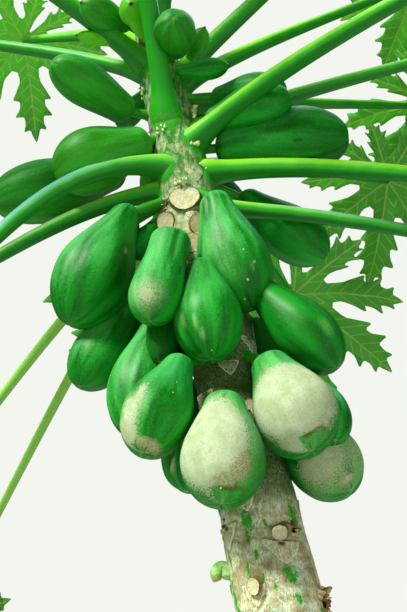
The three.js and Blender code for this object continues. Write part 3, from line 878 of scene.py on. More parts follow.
def fruitShell(row, number, seed):
    long, girth, neck = row[5:8]
    luck = random.Random(seed)
    rows, sides = fruitSettings["rings"], fruitSettings["sides"]
    if girth < fruitSettings["smallGirth"]:
        rows, sides = rows // 2, sides // 2
    share = (1 - np.cos(math.pi * np.linspace(0.012, 0.988, rows)))[:, None] / 2
    turn = np.degrees(circle(sides))[None]
    cosine, sine = np.cos(np.radians(turn)), np.sin(np.radians(turn))
    axis, upper, other = fruitAxes(row)
    radius = fruitRadius(share, number, neck, girth)
    ribDepth = fruitSettings["strongRibs"].get(number, fruitSettings["ribDepth"])
    phase = fruitSettings["ribTurn"].get(number, luck.uniform(0, 72))
    half = fruitSettings["ribs"] / 2 * np.radians(turn - phase)
    # broad ribs with a furrow between each two, and a faint one down the middle of each
    main = np.sqrt(np.sin(half) ** 2 + 0.012)
    minor = np.sqrt(np.sin(2 * half) ** 2 + 0.02)
    growing = smoothStep(share, 0.06, 0.5)
    rib = ribDepth * (0.8 * (main - 0.64) + 0.22 * (minor - 0.64)) * growing
    uneven = 1 + 0.02 * np.cos(np.radians(turn - luck.uniform(0, 360))) * smoothStep(share, 0.2, 0.7)
    radius = radius * (1 + rib) * uneven
    # painted shade: darker down the furrows between the ribs
    valley = np.maximum(hump(main, 0.2), 0.3 * hump(minor, 0.2))
    valley = valley * growing * min(ribDepth * 13, 1)
    if number in fruitSettings["crease"]:
        place, end = fruitSettings["crease"][number]
        furrow = hump(turnFrom(place, turn), 9) * (1 - smoothStep(share, end * 0.6, end))
        radius = radius - 3.0 * furrow * smoothStep(share, 0.02, 0.12)
        valley = np.maximum(valley, furrow)
    seam = np.zeros_like(radius)
    if number in fruitSettings["seam"]:
        at, place, wide = fruitSettings["seam"][number]
        off = turnFrom(place, turn)
        there = 1 - smoothStep(np.abs(off), wide * 0.7, wide)
        seam = hump(share - at - 0.012 * np.sin(np.radians(off * 4)), 0.011) * there
        radius = radius - 3.5 * seam
    # furrows that run together at the blossom end, round a small pit
    star = hump(np.sin(half), 0.2)
    tipZone = smoothStep(share, 0.93, 0.995)
    radius = radius * (1 - 0.10 * star * tipZone)
    pale, dried = number in fruitSettings["paleTip"], number in fruitSettings["driedFlower"]
    size, atTip = girth / fruitSettings["usualGirth"], share > 0.8
    pitDepth = -4.5 if dried else 3.2 * size * (-0.7 if pale else 1)
    pit = pitDepth * hump(radius, 0.075 * girth) * atTip
    bow = long * 0.02 * luck.uniform(-1, 1) * np.sin(math.pi * share) * np.ones_like(turn)
    out = cosine[..., None] * upper + sine[..., None] * other
    points = fruitShoulder(row) + (share * long - pit)[..., None] * axis + radius[..., None] * out
    points = points + bow[..., None] * upper
    shares = share * np.ones_like(turn)
    space = vectors(cosine, sine, shares)
    patches, soft = scurfPatches.get(number, []), grazes.get(number, [])
    if number >= fruitSettings["crowded"] and girth > fruitSettings["corkyGirth"]:
        patches = [(luck.uniform(0.5, 0.8), luck.uniform(0, 360), luck.uniform(0.05, 0.2),
                    luck.uniform(8, 34), luck.uniform(0.5, 0.9), luck.random())]
    if number in fruitSettings["clean"]:
        patches = []
    scurf, brown = scurfMarks(share, turn, patches)
    if number in fruitSettings["seam"]:
        # beyond the seam the skin stayed green
        at, place, wide = fruitSettings["seam"][number]
        beyond = 1 - smoothStep(np.abs(turnFrom(place, turn)), wide * 0.9, wide * 1.4)
        scurf = scurf * (1 - smoothStep(share, at - 0.005, at + 0.012) * beyond)
    bloom = luck.uniform(0.3, 0.9)
    if number < len(fruitSettings["bloom"]):
        bloom = fruitSettings["bloom"][number]
    elif number >= fruitSettings["hidden"]:
        bloom = 0.0
    away = radius / girth
    tip = hump(away, 0.012 + (3.4 if dried else 1.6) / girth) * atTip
    rays = hump(np.sin(2 * half), 0.24) * hump(away, 0.16) * atTip
    marks = {
        "fruitSpace": space * size + luck.uniform(0, 40),
        "scurf": scurf,
        "scurfBrown": brown,
        "graze": softMarks(share, turn, soft) * (1 - 0.8 * (seam > 0.3)),
        "cut": softMarks(share, turn, [(*place, 1.0) for place in healedCuts.get(number, [])]),
        "fruitTip": tip * (0.4 if pale else 1),
        "driedTip": tip * dried,
        # painted shade down the blossom end's furrows, painted highlight on the ridges between; a pale-tipped
        # fruit's own pale nub
        "tipRay": star * hump(away - 0.09, 0.08) * atTip * (not pale),
        "tipGlow": np.maximum(rays * (1 - star), tip * pale),
        "youth": shares * 0 + fruitSettings["youth"].get(number, 0.0),
        "bloom": shares * 0 + bloom,
        "valley": np.maximum(valley, seam * 0.6) + fruitSettings["paintedShadeByFruit"].get(number, 0.0),
        "seam": seam,
    }
    parts = [closedLoft(points, marks), fruitStalkShell(row, axis, long)]
    parts += [dropShell(row, *drop) for drop in latexDrops if drop[0] == number]
    return joinedShell(parts)


def skinGrowth():
    # soft dents that push a fruit's skin in and out
    tree, inputs = newGrowth("fruit skin", [("Dent depth", "Float"), ("Dent size", "Float"),
                                            ("Seed", "Float"), ("Skin", "Material")])
    scale = addNode(tree, "ShaderNodeMath", (1.0, inputs["Dent size"]), operation="DIVIDE")
    dents = addNode(tree, "ShaderNodeTexNoise", {"W": inputs["Seed"], "Scale": scale, "Detail": 1.0},
                    noise_dimensions="4D")
    centred = addNode(tree, "ShaderNodeMath", (dents, 0.5), operation="SUBTRACT")
    depth = addNode(tree, "ShaderNodeMath", (centred, inputs["Dent depth"]), operation="MULTIPLY")
    normal = addNode(tree, "GeometryNodeInputNormal")
    shift = addNode(tree, "ShaderNodeVectorMath", (normal, depth), operation="SCALE")
    moved = addNode(tree, "GeometryNodeSetPosition", {"Geometry": inputs["Geometry"], "Offset": shift})
    endGrowth(tree, moved, inputs["Skin"])
    return tree


# Skin of an unripe papaya: smooth and waxy, deep green under a thin blue-grey bloom, with painted light on it
skinSettings = {
    # painted light: the bloom's lighter green where it faces the key lamp
    "paintedLight": "#66c672",
    "mid": "#159c22",
    "deep": "#055f0a",
    # painted shade: darker down the furrows, and over fruits in the shade of others
    "furrow": "#044806",
    # painted reflection: the bluer bloom where it faces the sky lamp
    "sky": "#3fae86",
    "young": "#62c81c",
    "stalk": "#2f9a1a",
    "scurf": "#c0caa9",
    "scurfShade": "#adb991",
    "speckle": "#7f9d5c",
    "brown": "#8f8644",
    "graze": "#b2cf94",
    "tip": "#a8865a",
    "dried": "#3a2410",
    # painted shade down the furrows of the blossom end
    "creaseShade": "#04500c",
    # painted highlight on the ridges of the blossom end, and the own pale nub of a pale-tipped fruit
    "paleNubAndHighlight": "#93dc86",
    "seam": "#6d5a20",
    "cut": "#0a4d10",
    "streakWide": 8.0,  # mm, across the fruit
    "streakLong": 70.0,
    "patterns": {"pores": (3.5, 3.0, 0.6, 1), "speck": (2.6, 3.0, 0.7, 1), "patchy": (22.0, 3.0, 0.5, 1)},
    "paintedLightSide": (-0.5, -0.35, 0.78),  # the way that the painted light faces: towards the key lamp
    "skyReflectionSide": (0.35, 0.15, 0.9),  # the way that the painted sky reflection faces: up, towards the sky lamp
}


def skinFinish():
    finish, tree = newFinish("waxy unripe papaya skin")
    look = skinSettings
    at = readings(tree, look["patterns"],
                  ("bloom", "valley", "youth", "stalkMark", "scurf", "scurfBrown", "graze", "cut", "seam",
                   "tipGlow", "tipRay", "fruitTip", "driedTip"))
    pores, speck, patchy = at["pores"], at["speck"], at["patchy"]
    space = addNode(tree, "ShaderNodeAttribute", attribute_name="fruitSpace").outputs["Vector"]
    across = fruitSettings["usualGirth"] / 2 / look["streakWide"]
    along = fruitSettings["usualLong"] / look["streakLong"]
    streaked = addNode(tree, "ShaderNodeMapping", {"Vector": space, "Scale": (across, across, along)})
    streak = addNode(tree, "ShaderNodeTexNoise", (streaked, 1.0, 4.0, 0.6))
    broad = addNode(tree, "ShaderNodeTexNoise", (space, 2.2, 3.0))
    tone = addNode(tree, "ShaderNodeMath", (streak, 0.16, broad), operation="MULTIPLY_ADD")
    tone = addNode(tree, "ShaderNodeMath", (pores, 0.5, tone), operation="MULTIPLY_ADD")

    # painted light and sky reflection on the bloom, which is rubbed off in dashes and clouds
    normal = addNode(tree, "ShaderNodeNewGeometry").outputs["Normal"]
    lit = addNode(tree, "ShaderNodeVectorMath", (normal, look["paintedLightSide"]), operation="DOT_PRODUCT")
    rubbings = [(streak, 0.3, 0.7, 0.09), (broad, 0.35, 0.65, 0.35), (pores, 0.3, 0.7, 0.16)]
    for pattern, low, high, reach in rubbings:
        shift = addNode(tree, "ShaderNodeMapRange", (pattern, low, high, -reach, reach))
        lit = addNode(tree, "ShaderNodeMath", (shift, lit), operation="ADD")
    upward = addNode(tree, "ShaderNodeVectorMath", (normal, look["skyReflectionSide"]), operation="DOT_PRODUCT")
    skin = painted(tree, look["deep"],
                   (tone, 0.63, 0.99, 0, 1, look["mid"]),
                   (lit, 0.15, 1.25, 0, 0.95, look["paintedLight"], at["bloom"]),
                   (upward, 0.2, 0.9, 0, 0.6, look["sky"], at["bloom"]),
                   (at["valley"], 0, 1, 0, 0.6, look["furrow"]),
                   (at["youth"], 0, 1, 0, 1, look["young"]),
                   (at["stalkMark"], 0, 1, 0, 1, look["stalk"]))

    # cork: solid in the middle of a patch, and broken up into specks towards its edge
    scurf = addNode(tree, "ShaderNodeMath", (speck, 2.1, at["scurf"]), operation="MULTIPLY_ADD")
    scurf = addNode(tree, "ShaderNodeMath", (patchy, 0.4, scurf), operation="MULTIPLY_ADD")
    scurf = addNode(tree, "ShaderNodeMapRange", (scurf, 1.70, 1.88))
    cork = painted(tree, look["scurf"],
                   (patchy, 0.38, 0.62, 0, 1, look["scurfShade"]),
                   (speck, 0.50, 0.62, 0, 0.45, look["speckle"]),
                   (speck, 0.42, 0.54, 0.05, 0.9, look["brown"], at["scurfBrown"]))
    grazed = addNode(tree, "ShaderNodeMapRange", (speck, 0.40, 0.58, 0.3, 0.95))
    grazed = addNode(tree, "ShaderNodeMath", (at["graze"], grazed), operation="MULTIPLY")
    colour = painted(tree, skin,
                     (grazed, 0, 1, 0, 1, look["graze"]),
                     (scurf, 0, 1, 0, 1, cork),
                     (at["cut"], 0.2, 0.7, 0, 0.8, look["cut"]),
                     (at["seam"], 0.3, 0.9, 0, 0.8, look["seam"]),
                     (at["tipGlow"], 0.2, 0.9, 0, 0.7, look["paleNubAndHighlight"]),
                     (at["tipRay"], 0.2, 0.8, 0, 0.85, look["creaseShade"]),
                     (at["fruitTip"], 0.25, 0.6, 0, 1, look["tip"]),
                     (at["driedTip"], 0.2, 0.5, 0, 1, look["dried"]))

    worn = addNode(tree, "ShaderNodeMath", (scurf, grazed), operation="MAXIMUM")
    rough = addNode(tree, "ShaderNodeMapRange", (worn, 0, 1, 0.44, 0.8))
    raised = addNode(tree, "ShaderNodeMath", (scurf, 0.5, speck), operation="MULTIPLY_ADD")
    endFinish(tree, colour, rough, specular=0.2, relief=(raised, 0.2, 0.001))
    return finish


# Leaf stalks

# height, bearing, rise, bend, stalk, girth, blade, tilt, roll, and wax: blue bloom above 0, painted shade
# below 0
leafRows = [
    (3152, 297, 32, -12, 820, 44, 390, -52, 8, 0.0),
    (2988, 344, 58, -8, 800, 46, 360, -5, 0, -1.0),
    (3118, 74, 48, -6, 760, 42, 360, -15, -6, 0.2),
    (3104, 108, 50, -12, 860, 38, 370, -20, 8, 0.0),
    (2924, 50, 24, -25, 960, 42, 370, -40, 5, 0.0),
    (2975, 90, 30, -12, 900, 36, 370, -38, -8, 0.2),
    (3062, 122, 30, -6, 880, 36, 390, -28, 6, 0.0),
    (3140, 262, 30, -14, 780, 34, 350, -35, -5, 0.4),
    (2861, 282, 6, -68, 900, 39, 370, -64, 5, 1.0),
    (2824, 262, 2, -35, 700, 38, 360, -58, 0, 0.2),
    (2858, 78, 4, -20, 780, 45, 390, -48, 0, 0.0),
    (2778, 90, 0, -14, 980, 33, 370, -50, 4, 0.5),
    (2790, 228, -8, -28, 1100, 28, 360, -66, -24, 0.2),
    (2808, 217, -20, -20, 1200, 27, 340, -74, -24, 0.2),
    (2860, 160, 28, -18, 860, 38, 390, -36, -5, 0.0),
    (2990, 186, 28, -22, 860, 40, 390, -25, 0, 0.0),
    (2900, 136, 38, -14, 860, 36, 360, -34, 6, 0.0),
    (3290, 24, 48, -16, 700, 42, 340, -12, 0, 0.2),
    (3250, 222, 50, -16, 720, 40, 350, -12, 0, 0.2),
]

stalkSettings = {
    "steps": 56,
    "bite": 14,
    "rootSteps": 7,
    "rootLong": 40,  # mm of the foot inside the stem
    "taper": 0.46,
    "flare": 0.36,
    "flareShare": 0.05,
    "haste": 4,
    "sides": 24,
    "ridges": 9,
    "ridgeDepth": 0.35,  # mm
    "footWidth": 0.12,  # how much wider than deep the clasping foot is
    "aside": {2861: 30},  # a foot, by its height, that sits some degrees round from its stalk's bearing
    "yellowed": {13: 0.85, 14: 0.85},  # leaves with an old, yellower stalk
}


def stalkLine(row):
    height, bearing, rise, bend, long = row[:5]
    steps = stalkSettings["steps"]
    share = (np.arange(steps) + 0.5) / steps
    pitch = rise + bend * (1 - (1 - share) ** stalkSettings["haste"])
    foot = bearing + stalkSettings["aside"].get(height, 0)
    start = stemMiddle(height) + heading(foot, 0) * (stemRadius(height) - stalkSettings["bite"])
    moves = heading(bearing, pitch) * long / steps
    return np.vstack([start, start + np.cumsum(moves, axis=0)])


def stalkRadius(share, girth):
    foot = 1 + stalkSettings["flare"] * hump(share, stalkSettings["flareShare"])
    return girth / 2 * (1 - (1 - stalkSettings["taper"]) * share) * foot


def rootedStalk(line, half, bearing, wax, young):
    # lets a stalk's foot bend down into the stem, and narrow there
    steps = stalkSettings["rootSteps"]
    back = line[0] - line[1]
    back /= np.linalg.norm(back)
    inward = -heading(bearing, 16)
    inside = []
    for t in np.arange(steps, 0, -1) / steps:
        way = back * (1 - 0.7 * t) + inward * 0.7 * t
        inside.append(line[0] + way * stalkSettings["rootLong"] * t)
    shrink = 1 - 0.5 * (np.arange(steps, 0, -1) / steps) ** 2
    share = np.concatenate([np.zeros(steps), np.linspace(0, 1, len(line))])
    return (np.vstack([inside, line]), np.concatenate([half[0] * shrink, half]), share,
            heading(bearing + 90, 0), wax, young)


def lineShell(line, marks):
    # a bare line of points, which a growth tree sweeps into a stalk or a vein
    return {"points": line, "marks": marks,
            "quads": np.zeros((0, 4), int), "triangles": np.zeros((0, 3), int)}


def lineEdges(count, start=0):
    return [(start + i, start + i + 1) for i in range(count - 1)]


def stalkGrowth():
    # sweeps a round, faintly ridged section along a line and widens it at the foot
    tree, inputs = newGrowth("leaf stalk", [("Sides", "Int"), ("Ridges", "Int"), ("Ridge depth", "Float"),
                                            ("Foot width", "Float"), ("Skin", "Material")])
    curve = addNode(tree, "GeometryNodeMeshToCurve", {"Mesh": inputs["Geometry"]})
    upright = addNode(tree, "GeometryNodeSetCurveNormal", {"Curve": curve}, mode="Z_UP")
    here = addNode(tree, "GeometryNodeInputPosition")
    kept = addNode(tree, "GeometryNodeStoreNamedAttribute",
                   {"Geometry": upright, "Name": "centre", "Value": here},
                   data_type="FLOAT_VECTOR", domain="POINT")
    ring = addNode(tree, "GeometryNodeCurvePrimitiveCircle", {"Resolution": inputs["Sides"], "Radius": 1.0})
    turned = addNode(tree, "GeometryNodeSplineParameter")
    ring = addNode(tree, "GeometryNodeStoreNamedAttribute",
                   {"Geometry": ring, "Name": "around", "Value": turned},
                   data_type="FLOAT", domain="POINT")
    names = {"halfGirth": "FLOAT", "share": "FLOAT", "around": "FLOAT",
             "centre": "FLOAT_VECTOR", "sideways": "FLOAT_VECTOR"}
    at = {name: addNode(tree, "GeometryNodeInputNamedAttribute", {"Name": name}, data_type=kind)
          for name, kind in names.items()}
    swept = addNode(tree, "GeometryNodeCurveToMesh",
                    {"Curve": kept, "Profile Curve": ring, "Scale": at["halfGirth"], "Fill Caps": True})
    arm = addNode(tree, "ShaderNodeVectorMath", (here, at["centre"]), operation="SUBTRACT")
    reach = addNode(tree, "ShaderNodeVectorMath", (arm, at["sideways"]), operation="DOT_PRODUCT")
    widening = addNode(tree, "ShaderNodeMapRange", (at["share"], 0.0, 0.16, 1.0, 0.0),
                       interpolation_type="SMOOTHSTEP")
    widening = addNode(tree, "ShaderNodeMath", (widening, inputs["Foot width"]), operation="MULTIPLY")
    widening = addNode(tree, "ShaderNodeMath", (reach, widening), operation="MULTIPLY")
    wide = addNode(tree, "ShaderNodeVectorMath", (at["sideways"], widening), operation="SCALE")
    angle = addNode(tree, "ShaderNodeMath", (inputs["Ridges"], 2 * math.pi), operation="MULTIPLY")
    angle = addNode(tree, "ShaderNodeMath", (at["around"], angle), operation="MULTIPLY")
    ridge = addNode(tree, "ShaderNodeMath", (angle,), operation="COSINE")
    ridge = addNode(tree, "ShaderNodeMath", (ridge, inputs["Ridge depth"]), operation="MULTIPLY")
    outward = addNode(tree, "ShaderNodeVectorMath", (arm,), operation="NORMALIZE")
    lift = addNode(tree, "ShaderNodeVectorMath", (outward, ridge), operation="SCALE")
    shift = addNode(tree, "ShaderNodeVectorMath", (wide, lift), operation="ADD")
    moved = addNode(tree, "GeometryNodeSetPosition", {"Geometry": swept, "Offset": shift})
    endGrowth(tree, moved, inputs["Skin"])
    return tree


def stalkPiece(name, lines, tree, finish):
    # lines: points, half girths, shares, sideways, wax bloom and painted shade, and youth of each stalk that
    # the piece joins
    shells, edges, start = [], [], 0
    for line, halfGirth, share, sideways, wax, young in lines:
        count = len(line)
        marks = {"halfGirth": halfGirth * millimetre, "centre": line * millimetre, "share": share,
                 "sideways": np.tile(sideways, (count, 1)), "wax": np.full(count, wax),
                 "young": np.full(count, young)}
        shells.append(lineShell(line, marks))
        edges += lineEdges(count, start)
        start += count
    source = shellMesh(name, joinedShell(shells), None, edges)
    piece = grow(name, source, tree, {
        "Sides": stalkSettings["sides"], "Ridges": stalkSettings["ridges"],
        "Ridge depth": stalkSettings["ridgeDepth"] * millimetre,
        "Foot width": stalkSettings["footWidth"], "Skin": finish})
    return piece


# Leaf stalk: smooth waxy green, painted lighter yellow-green on the side towards the sun and painted dark
# below
stalkLook = {
    "top": "#96da2c",
    "side": "#38b814",
    "under": "#087a0e",
    # painted shade for a stalk that lies in shade, marked below 0 of its wax
    "deep": "#0e9a12",
    "blue": "#6cbcae",
    "foot": "#8fc84a",
    "youngTop": "#b2ea66",
    "patterns": {"blotch": (36.0, 3.0, 0.5, 1), "fine": (5.0, 4.0, 0.65, 1)},
    "stalkLitSide": (-0.3, -0.2, 0.93),  # the way that the painted light faces
}


def stalkFinish():
    finish, tree = newFinish("waxy leaf stalk")
    look = stalkLook
    at = readings(tree, look["patterns"], ("wax", "share", "young"))
    normal = addNode(tree, "ShaderNodeNewGeometry").outputs["Normal"]
    facing = addNode(tree, "ShaderNodeVectorMath", (normal, look["stalkLitSide"]), operation="DOT_PRODUCT")
    # painted light and shade: lighter yellow-green towards the sun, dark green below
    edge = addNode(tree, "ShaderNodeMath", (at["blotch"], 0.5, facing), operation="MULTIPLY_ADD")
    # the blue bloom starts some way out from the foot and shows on the lit side, partly as a painted
    # highlight; the old foot is a little corky
    blue = addNode(tree, "ShaderNodeMapRange", (at["share"], 0.08, 0.24, 0.15, 1.0))
    blue = addNode(tree, "ShaderNodeMath", (at["wax"], blue), operation="MULTIPLY")
    corky = addNode(tree, "ShaderNodeMath", (at["share"], -9.0, at["fine"]), operation="MULTIPLY_ADD")
    colour = painted(tree, look["side"],
                     (edge, 0.25, 0.95, 0, 1, look["top"]),
                     (edge, -0.4, 0.35, 1, 0, look["under"]),
                     (at["wax"], -1, 0, 0.75, 0, look["deep"]),
                     (edge, 0.1, 0.8, 0, 1, look["blue"], blue),
                     (at["young"], 0, 1, 0, 0.7, look["youngTop"]),
                     (corky, 0.36, 0.6, 0, 0.22, look["foot"]))
    endFinish(tree, colour, rough=0.42, specular=0.35, relief=(at["blotch"], 0.3, 0.002))
    return finish


# Leaf blades

bladeSettings = {
    "spread": 40,  # degrees between the main veins
    "reach": [1.0, 0.94, 0.84, 0.7, 0.52],  # lobe lengths from the middle one outwards
    "sinus": 0.34,
    "cleft": 0.05,
    # half of a lobe's outline, along and across, as shares of its length, from its base to its tip
    "lobe": [(0.43, 0.095), (0.53, 0.145), (0.64, 0.205), (0.625, 0.125), (0.70, 0.135), (0.80, 0.205),
             (0.775, 0.105), (0.84, 0.095), (0.915, 0.125), (0.89, 0.055), (0.94, 0.032)],
    "grain": 0.05,  # spacing of the points inside, as a share of the blade
    "thick": 1.6,
    "fold": 0.30,
    "wave": 0.018,
    "openPitch": 4,
    "droopPitch": -42,
    "usualBlade": 370,  # mm, the blade on which a vein is as thick as veinGirth
    "veinGirth": 5.5,
    "veinSides": 6,
    "veinSteps": 18,
    "veinReach": 0.93,  # share of a lobe that its vein runs along
    "veinTaper": 0.86,
    "veinUnder": 1.2,  # mm that the veins hang below the blade's middle
    "seed": 23,
}


def softened(points):
    # rounds a closed outline by cutting its corners once
    points = np.array(points)
    after = np.roll(points, -1, axis=0)
    return np.stack([points * 0.8 + after * 0.2, points * 0.2 + after * 0.8], axis=1).reshape(-1, 2)


def bladeOutline():
    spread = math.radians(bladeSettings["spread"])
    outer = len(bladeSettings["reach"]) - 1
    outline = []
    for lobe in range(-outer, outer + 1):
        reach = bladeSettings["reach"][abs(lobe)]
        middle = lobe * spread
        half = [(u * reach, v * reach) for u, v in bladeSettings["lobe"]]
        rising = [(u, -v) for u, v in half]
        falling = [(u, v) for u, v in reversed(half)]
        if lobe > -outer:
            deep = bladeSettings["sinus"] * min(reach, bladeSettings["reach"][abs(lobe - 1)])
            edge = middle - spread / 2
            outline.append((deep * math.cos(edge), deep * math.sin(edge)))
        cosine, sine = math.cos(middle), math.sin(middle)
        for u, v in rising + [(reach, 0.0)] + falling:
            outline.append((u * cosine - v * sine, u * sine + v * cosine))
    outline.append((-bladeSettings["cleft"], 0.0))
    return softened(outline)


def bladeSheet():
    # the flat leaf, cut into triangles: points as shares of the blade, and faces
    outline = bladeOutline()
    luck = random.Random(bladeSettings["seed"])
    grain = bladeSettings["grain"]
    inner = []
    spread = math.radians(bladeSettings["spread"])
    outer = len(bladeSettings["reach"]) - 1
    for lobe in range(-outer, outer + 1):
        reach = bladeSettings["reach"][abs(lobe)]
        for along in np.arange(grain, reach * 0.985, grain * 0.8):
            inner.append((along * math.cos(lobe * spread), along * math.sin(lobe * spread)))
    steps = np.arange(-1.0, 1.0, grain)
    for x in steps:
        for y in steps:
            inner.append((x + luck.uniform(-0.3, 0.3) * grain, y + luck.uniform(-0.3, 0.3) * grain))
    inner = np.array(inner)
    gaps = np.linalg.norm(inner[:, None] - outline[None], axis=2).min(axis=1)
    inner = inner[gaps > grain * 0.42]
    points = [Vector(p) for p in np.vstack([outline, inner])]
    rim = list(range(len(outline)))
    edges = [(i, (i + 1) % len(rim)) for i in rim]
    flat, _, faces, _, _, _ = delaunay_2d_cdt(points, edges, [rim], 1, 1e-6)
    return np.array([tuple(p) for p in flat]), np.array(faces)


def boundaryEdges(faces):
    edges = {}
    for face in faces:
        for a, b in zip(face, np.roll(face, -1)):
            edges[(int(a), int(b))] = True
    return [(a, b) for a, b in edges if (b, a) not in edges]


bladeFlat, bladeFaces = bladeSheet()
bladeRim = boundaryEdges(bladeFaces)


def lobePlace(flat):
    # how far a point of the flat leaf lies along and beside its nearest main vein
    spread = math.radians(bladeSettings["spread"])
    angle = np.arctan2(flat[:, 1], flat[:, 0])
    lobe = np.round(angle / spread)
    reach = np.linalg.norm(flat, axis=1)
    off = angle - lobe * spread
    return reach * np.cos(off), np.abs(reach * np.sin(off)), reach, angle, lobe


def bendBlade(flat, blade, shape, seed):
    # takes points of the flat leaf to their hanging shape: along, aside and up, in mm
    along, beside, reach, angle, lobe = lobePlace(flat)
    luck = random.Random(seed)
    swing = np.array([luck.uniform(-9, 9) for _ in range(11)])[(lobe + 5).astype(int)]
    swing = swing * smoothStep(reach, 0.2, 0.6)
    start = math.radians(shape["openPitch"])
    change = np.radians((shape["droopPitch"] + swing) * reach)
    change = np.where(np.abs(change) < 1e-4, 1e-4, change)
    out = reach * (np.sin(start + change) - np.sin(start)) / change
    drop = reach * (np.cos(start) - np.cos(start + change)) / change
    fold = shape["fold"] * beside * smoothStep(reach, 0.08, 0.35)
    uneven = roughness(np.column_stack([flat * 9, np.full(len(flat), seed * 3.1)]), 1.0, 2) * (0.3 + reach)
    crimp = np.sin(beside * 60 - along * 46) * smoothStep(beside, 0.01, 0.06)
    wave = shape["wave"] * (uneven + 0.35 * crimp)
    # a folded lobe also draws its sides in
    angleIn = angle - (angle - lobe * math.radians(bladeSettings["spread"])) * shape["fold"] * 0.35
    return np.column_stack([out * np.cos(angleIn), out * np.sin(angleIn), drop + fold + wave]) * blade


def leafShell(frameAxes, foot, blade, shape, seed):
    # a thin closed leaf: an upper and a lower skin joined round the rim
    midrib, side, up = frameAxes
    bent = bendBlade(bladeFlat, blade, shape, seed)
    points = foot + bent[:, :1] * midrib + bent[:, 1:2] * side + bent[:, 2:] * up
    corners = points[bladeFaces]
    faceNormal = np.cross(corners[:, 1] - corners[:, 0], corners[:, 2] - corners[:, 0])
    normal = np.zeros_like(points)
    for k in range(3):
        np.add.at(normal, bladeFaces[:, k], faceNormal)
    normal /= np.linalg.norm(normal, axis=1, keepdims=True) + 1e-12
    half = bladeSettings["thick"] / 2
    count = len(points)
    rim = np.array(bladeRim)
    walls = np.column_stack([rim[:, 1], rim[:, 0], rim[:, 0] + count, rim[:, 1] + count])
    space = np.column_stack([bladeFlat, np.zeros(count)])
    return {
        "points": np.vstack([points + normal * half, points - normal * half]),
        "quads": walls,
        "triangles": np.vstack([bladeFaces, bladeFaces[:, ::-1] + count]),
        "marks": {"leafSpace": np.vstack([space, space]),
                  "underside": np.concatenate([np.zeros(count), np.ones(count)])},
    }


def veinLines(frameAxes, foot, blade, shape, seed):
    # the main veins as lines on the leaf's lower face, for the sweep
    midrib, side, up = frameAxes
    lines = []
    outer = len(bladeSettings["reach"]) - 1
    for lobe in range(-outer, outer + 1):
        reach = bladeSettings["reach"][abs(lobe)] * bladeSettings["veinReach"]
        steps = np.linspace(0.0, reach, bladeSettings["veinSteps"])
        angle = math.radians(lobe * bladeSettings["spread"])
        flat = np.column_stack([steps * math.cos(angle), steps * math.sin(angle)]) + 1e-6
        bent = bendBlade(flat, blade, shape, seed)
        line = foot + bent[:, :1] * midrib + bent[:, 1:2] * side + bent[:, 2:] * up
        line = line - up * bladeSettings["veinUnder"]
        size = blade / bladeSettings["usualBlade"] * (0.75 + 0.25 * reach)
        half = bladeSettings["veinGirth"] / 2 * size * (1 - bladeSettings["veinTaper"] * steps / reach)
        lines.append((line, half))
    return lines


def veinGrowth():
    # joins the leaf to ribs swept along its loose vein lines
    tree, inputs = newGrowth("leaf with veins", [("Vein sides", "Int"), ("Skin", "Material")])
    girth = addNode(tree, "GeometryNodeInputNamedAttribute", {"Name": "halfGirth"}, data_type="FLOAT")
    isVein = addNode(tree, "FunctionNodeCompare", (girth, 1e-7), data_type="FLOAT", operation="GREATER_THAN")
    parted = addNode(tree, "GeometryNodeSeparateGeometry",
                     {"Geometry": inputs["Geometry"], "Selection": isVein}, domain="POINT")
    curve = addNode(tree, "GeometryNodeMeshToCurve", {"Mesh": parted})
    ring = addNode(tree, "GeometryNodeCurvePrimitiveCircle",
                   {"Resolution": inputs["Vein sides"], "Radius": 1.0})
    swept = addNode(tree, "GeometryNodeCurveToMesh",
                    {"Curve": curve, "Profile Curve": ring, "Scale": girth, "Fill Caps": True})
    joined = addNode(tree, "GeometryNodeJoinGeometry", {"Geometry": parted.outputs["Inverted"]})
    tree.links.new(swept.outputs["Mesh"], joined.inputs["Geometry"])
    endGrowth(tree, joined, inputs["Skin"])
    return tree


def leafAxes(bearing, tilt, roll):
    midrib = heading(bearing, tilt)
    side = heading(bearing + 90, 0)
    angle = math.radians(roll)
    side = side * math.cos(angle) + np.cross(midrib, side) * math.sin(angle)
    return midrib, side, np.cross(midrib, side)


def leafSource(name, leaves):
    # leaves: axes, foot, blade, shape and seed of each; one mesh with them all and their loose vein lines
    shells, veins = [], []
    for axes, foot, blade, shape, seed in leaves:
        shell = leafShell(axes, foot, blade, shape, seed)
        shell["marks"]["halfGirth"] = np.zeros(len(shell["points"]))
        shell["marks"]["veinMark"] = np.zeros(len(shell["points"]))
        shells.append(shell)
        veins += veinLines(axes, foot, blade, shape, seed)
    start = sum(len(shell["points"]) for shell in shells)
    edges = []
    for line, half in veins:
        count = len(line)
        shells.append(lineShell(line, {"halfGirth": half * millimetre, "veinMark": np.ones(count),
                                       "underside": np.ones(count), "leafSpace": np.zeros((count, 3))}))
        edges += lineEdges(count, start)
        start += count
    return shellMesh(name, joinedShell(shells), None, edges)


# Leaf blade: thin, matt above and paler below, lit through by the sun, with pale raised veins
leafLook = {
    "upper": "#2f8f1f",
    "upperLight": "#57ad2c",
    "lower": "#5fae4a",
    "vein": "#b9d77c",
    "through": "#8fe02a",
    "veinThrough": "#c9ea8a",
}


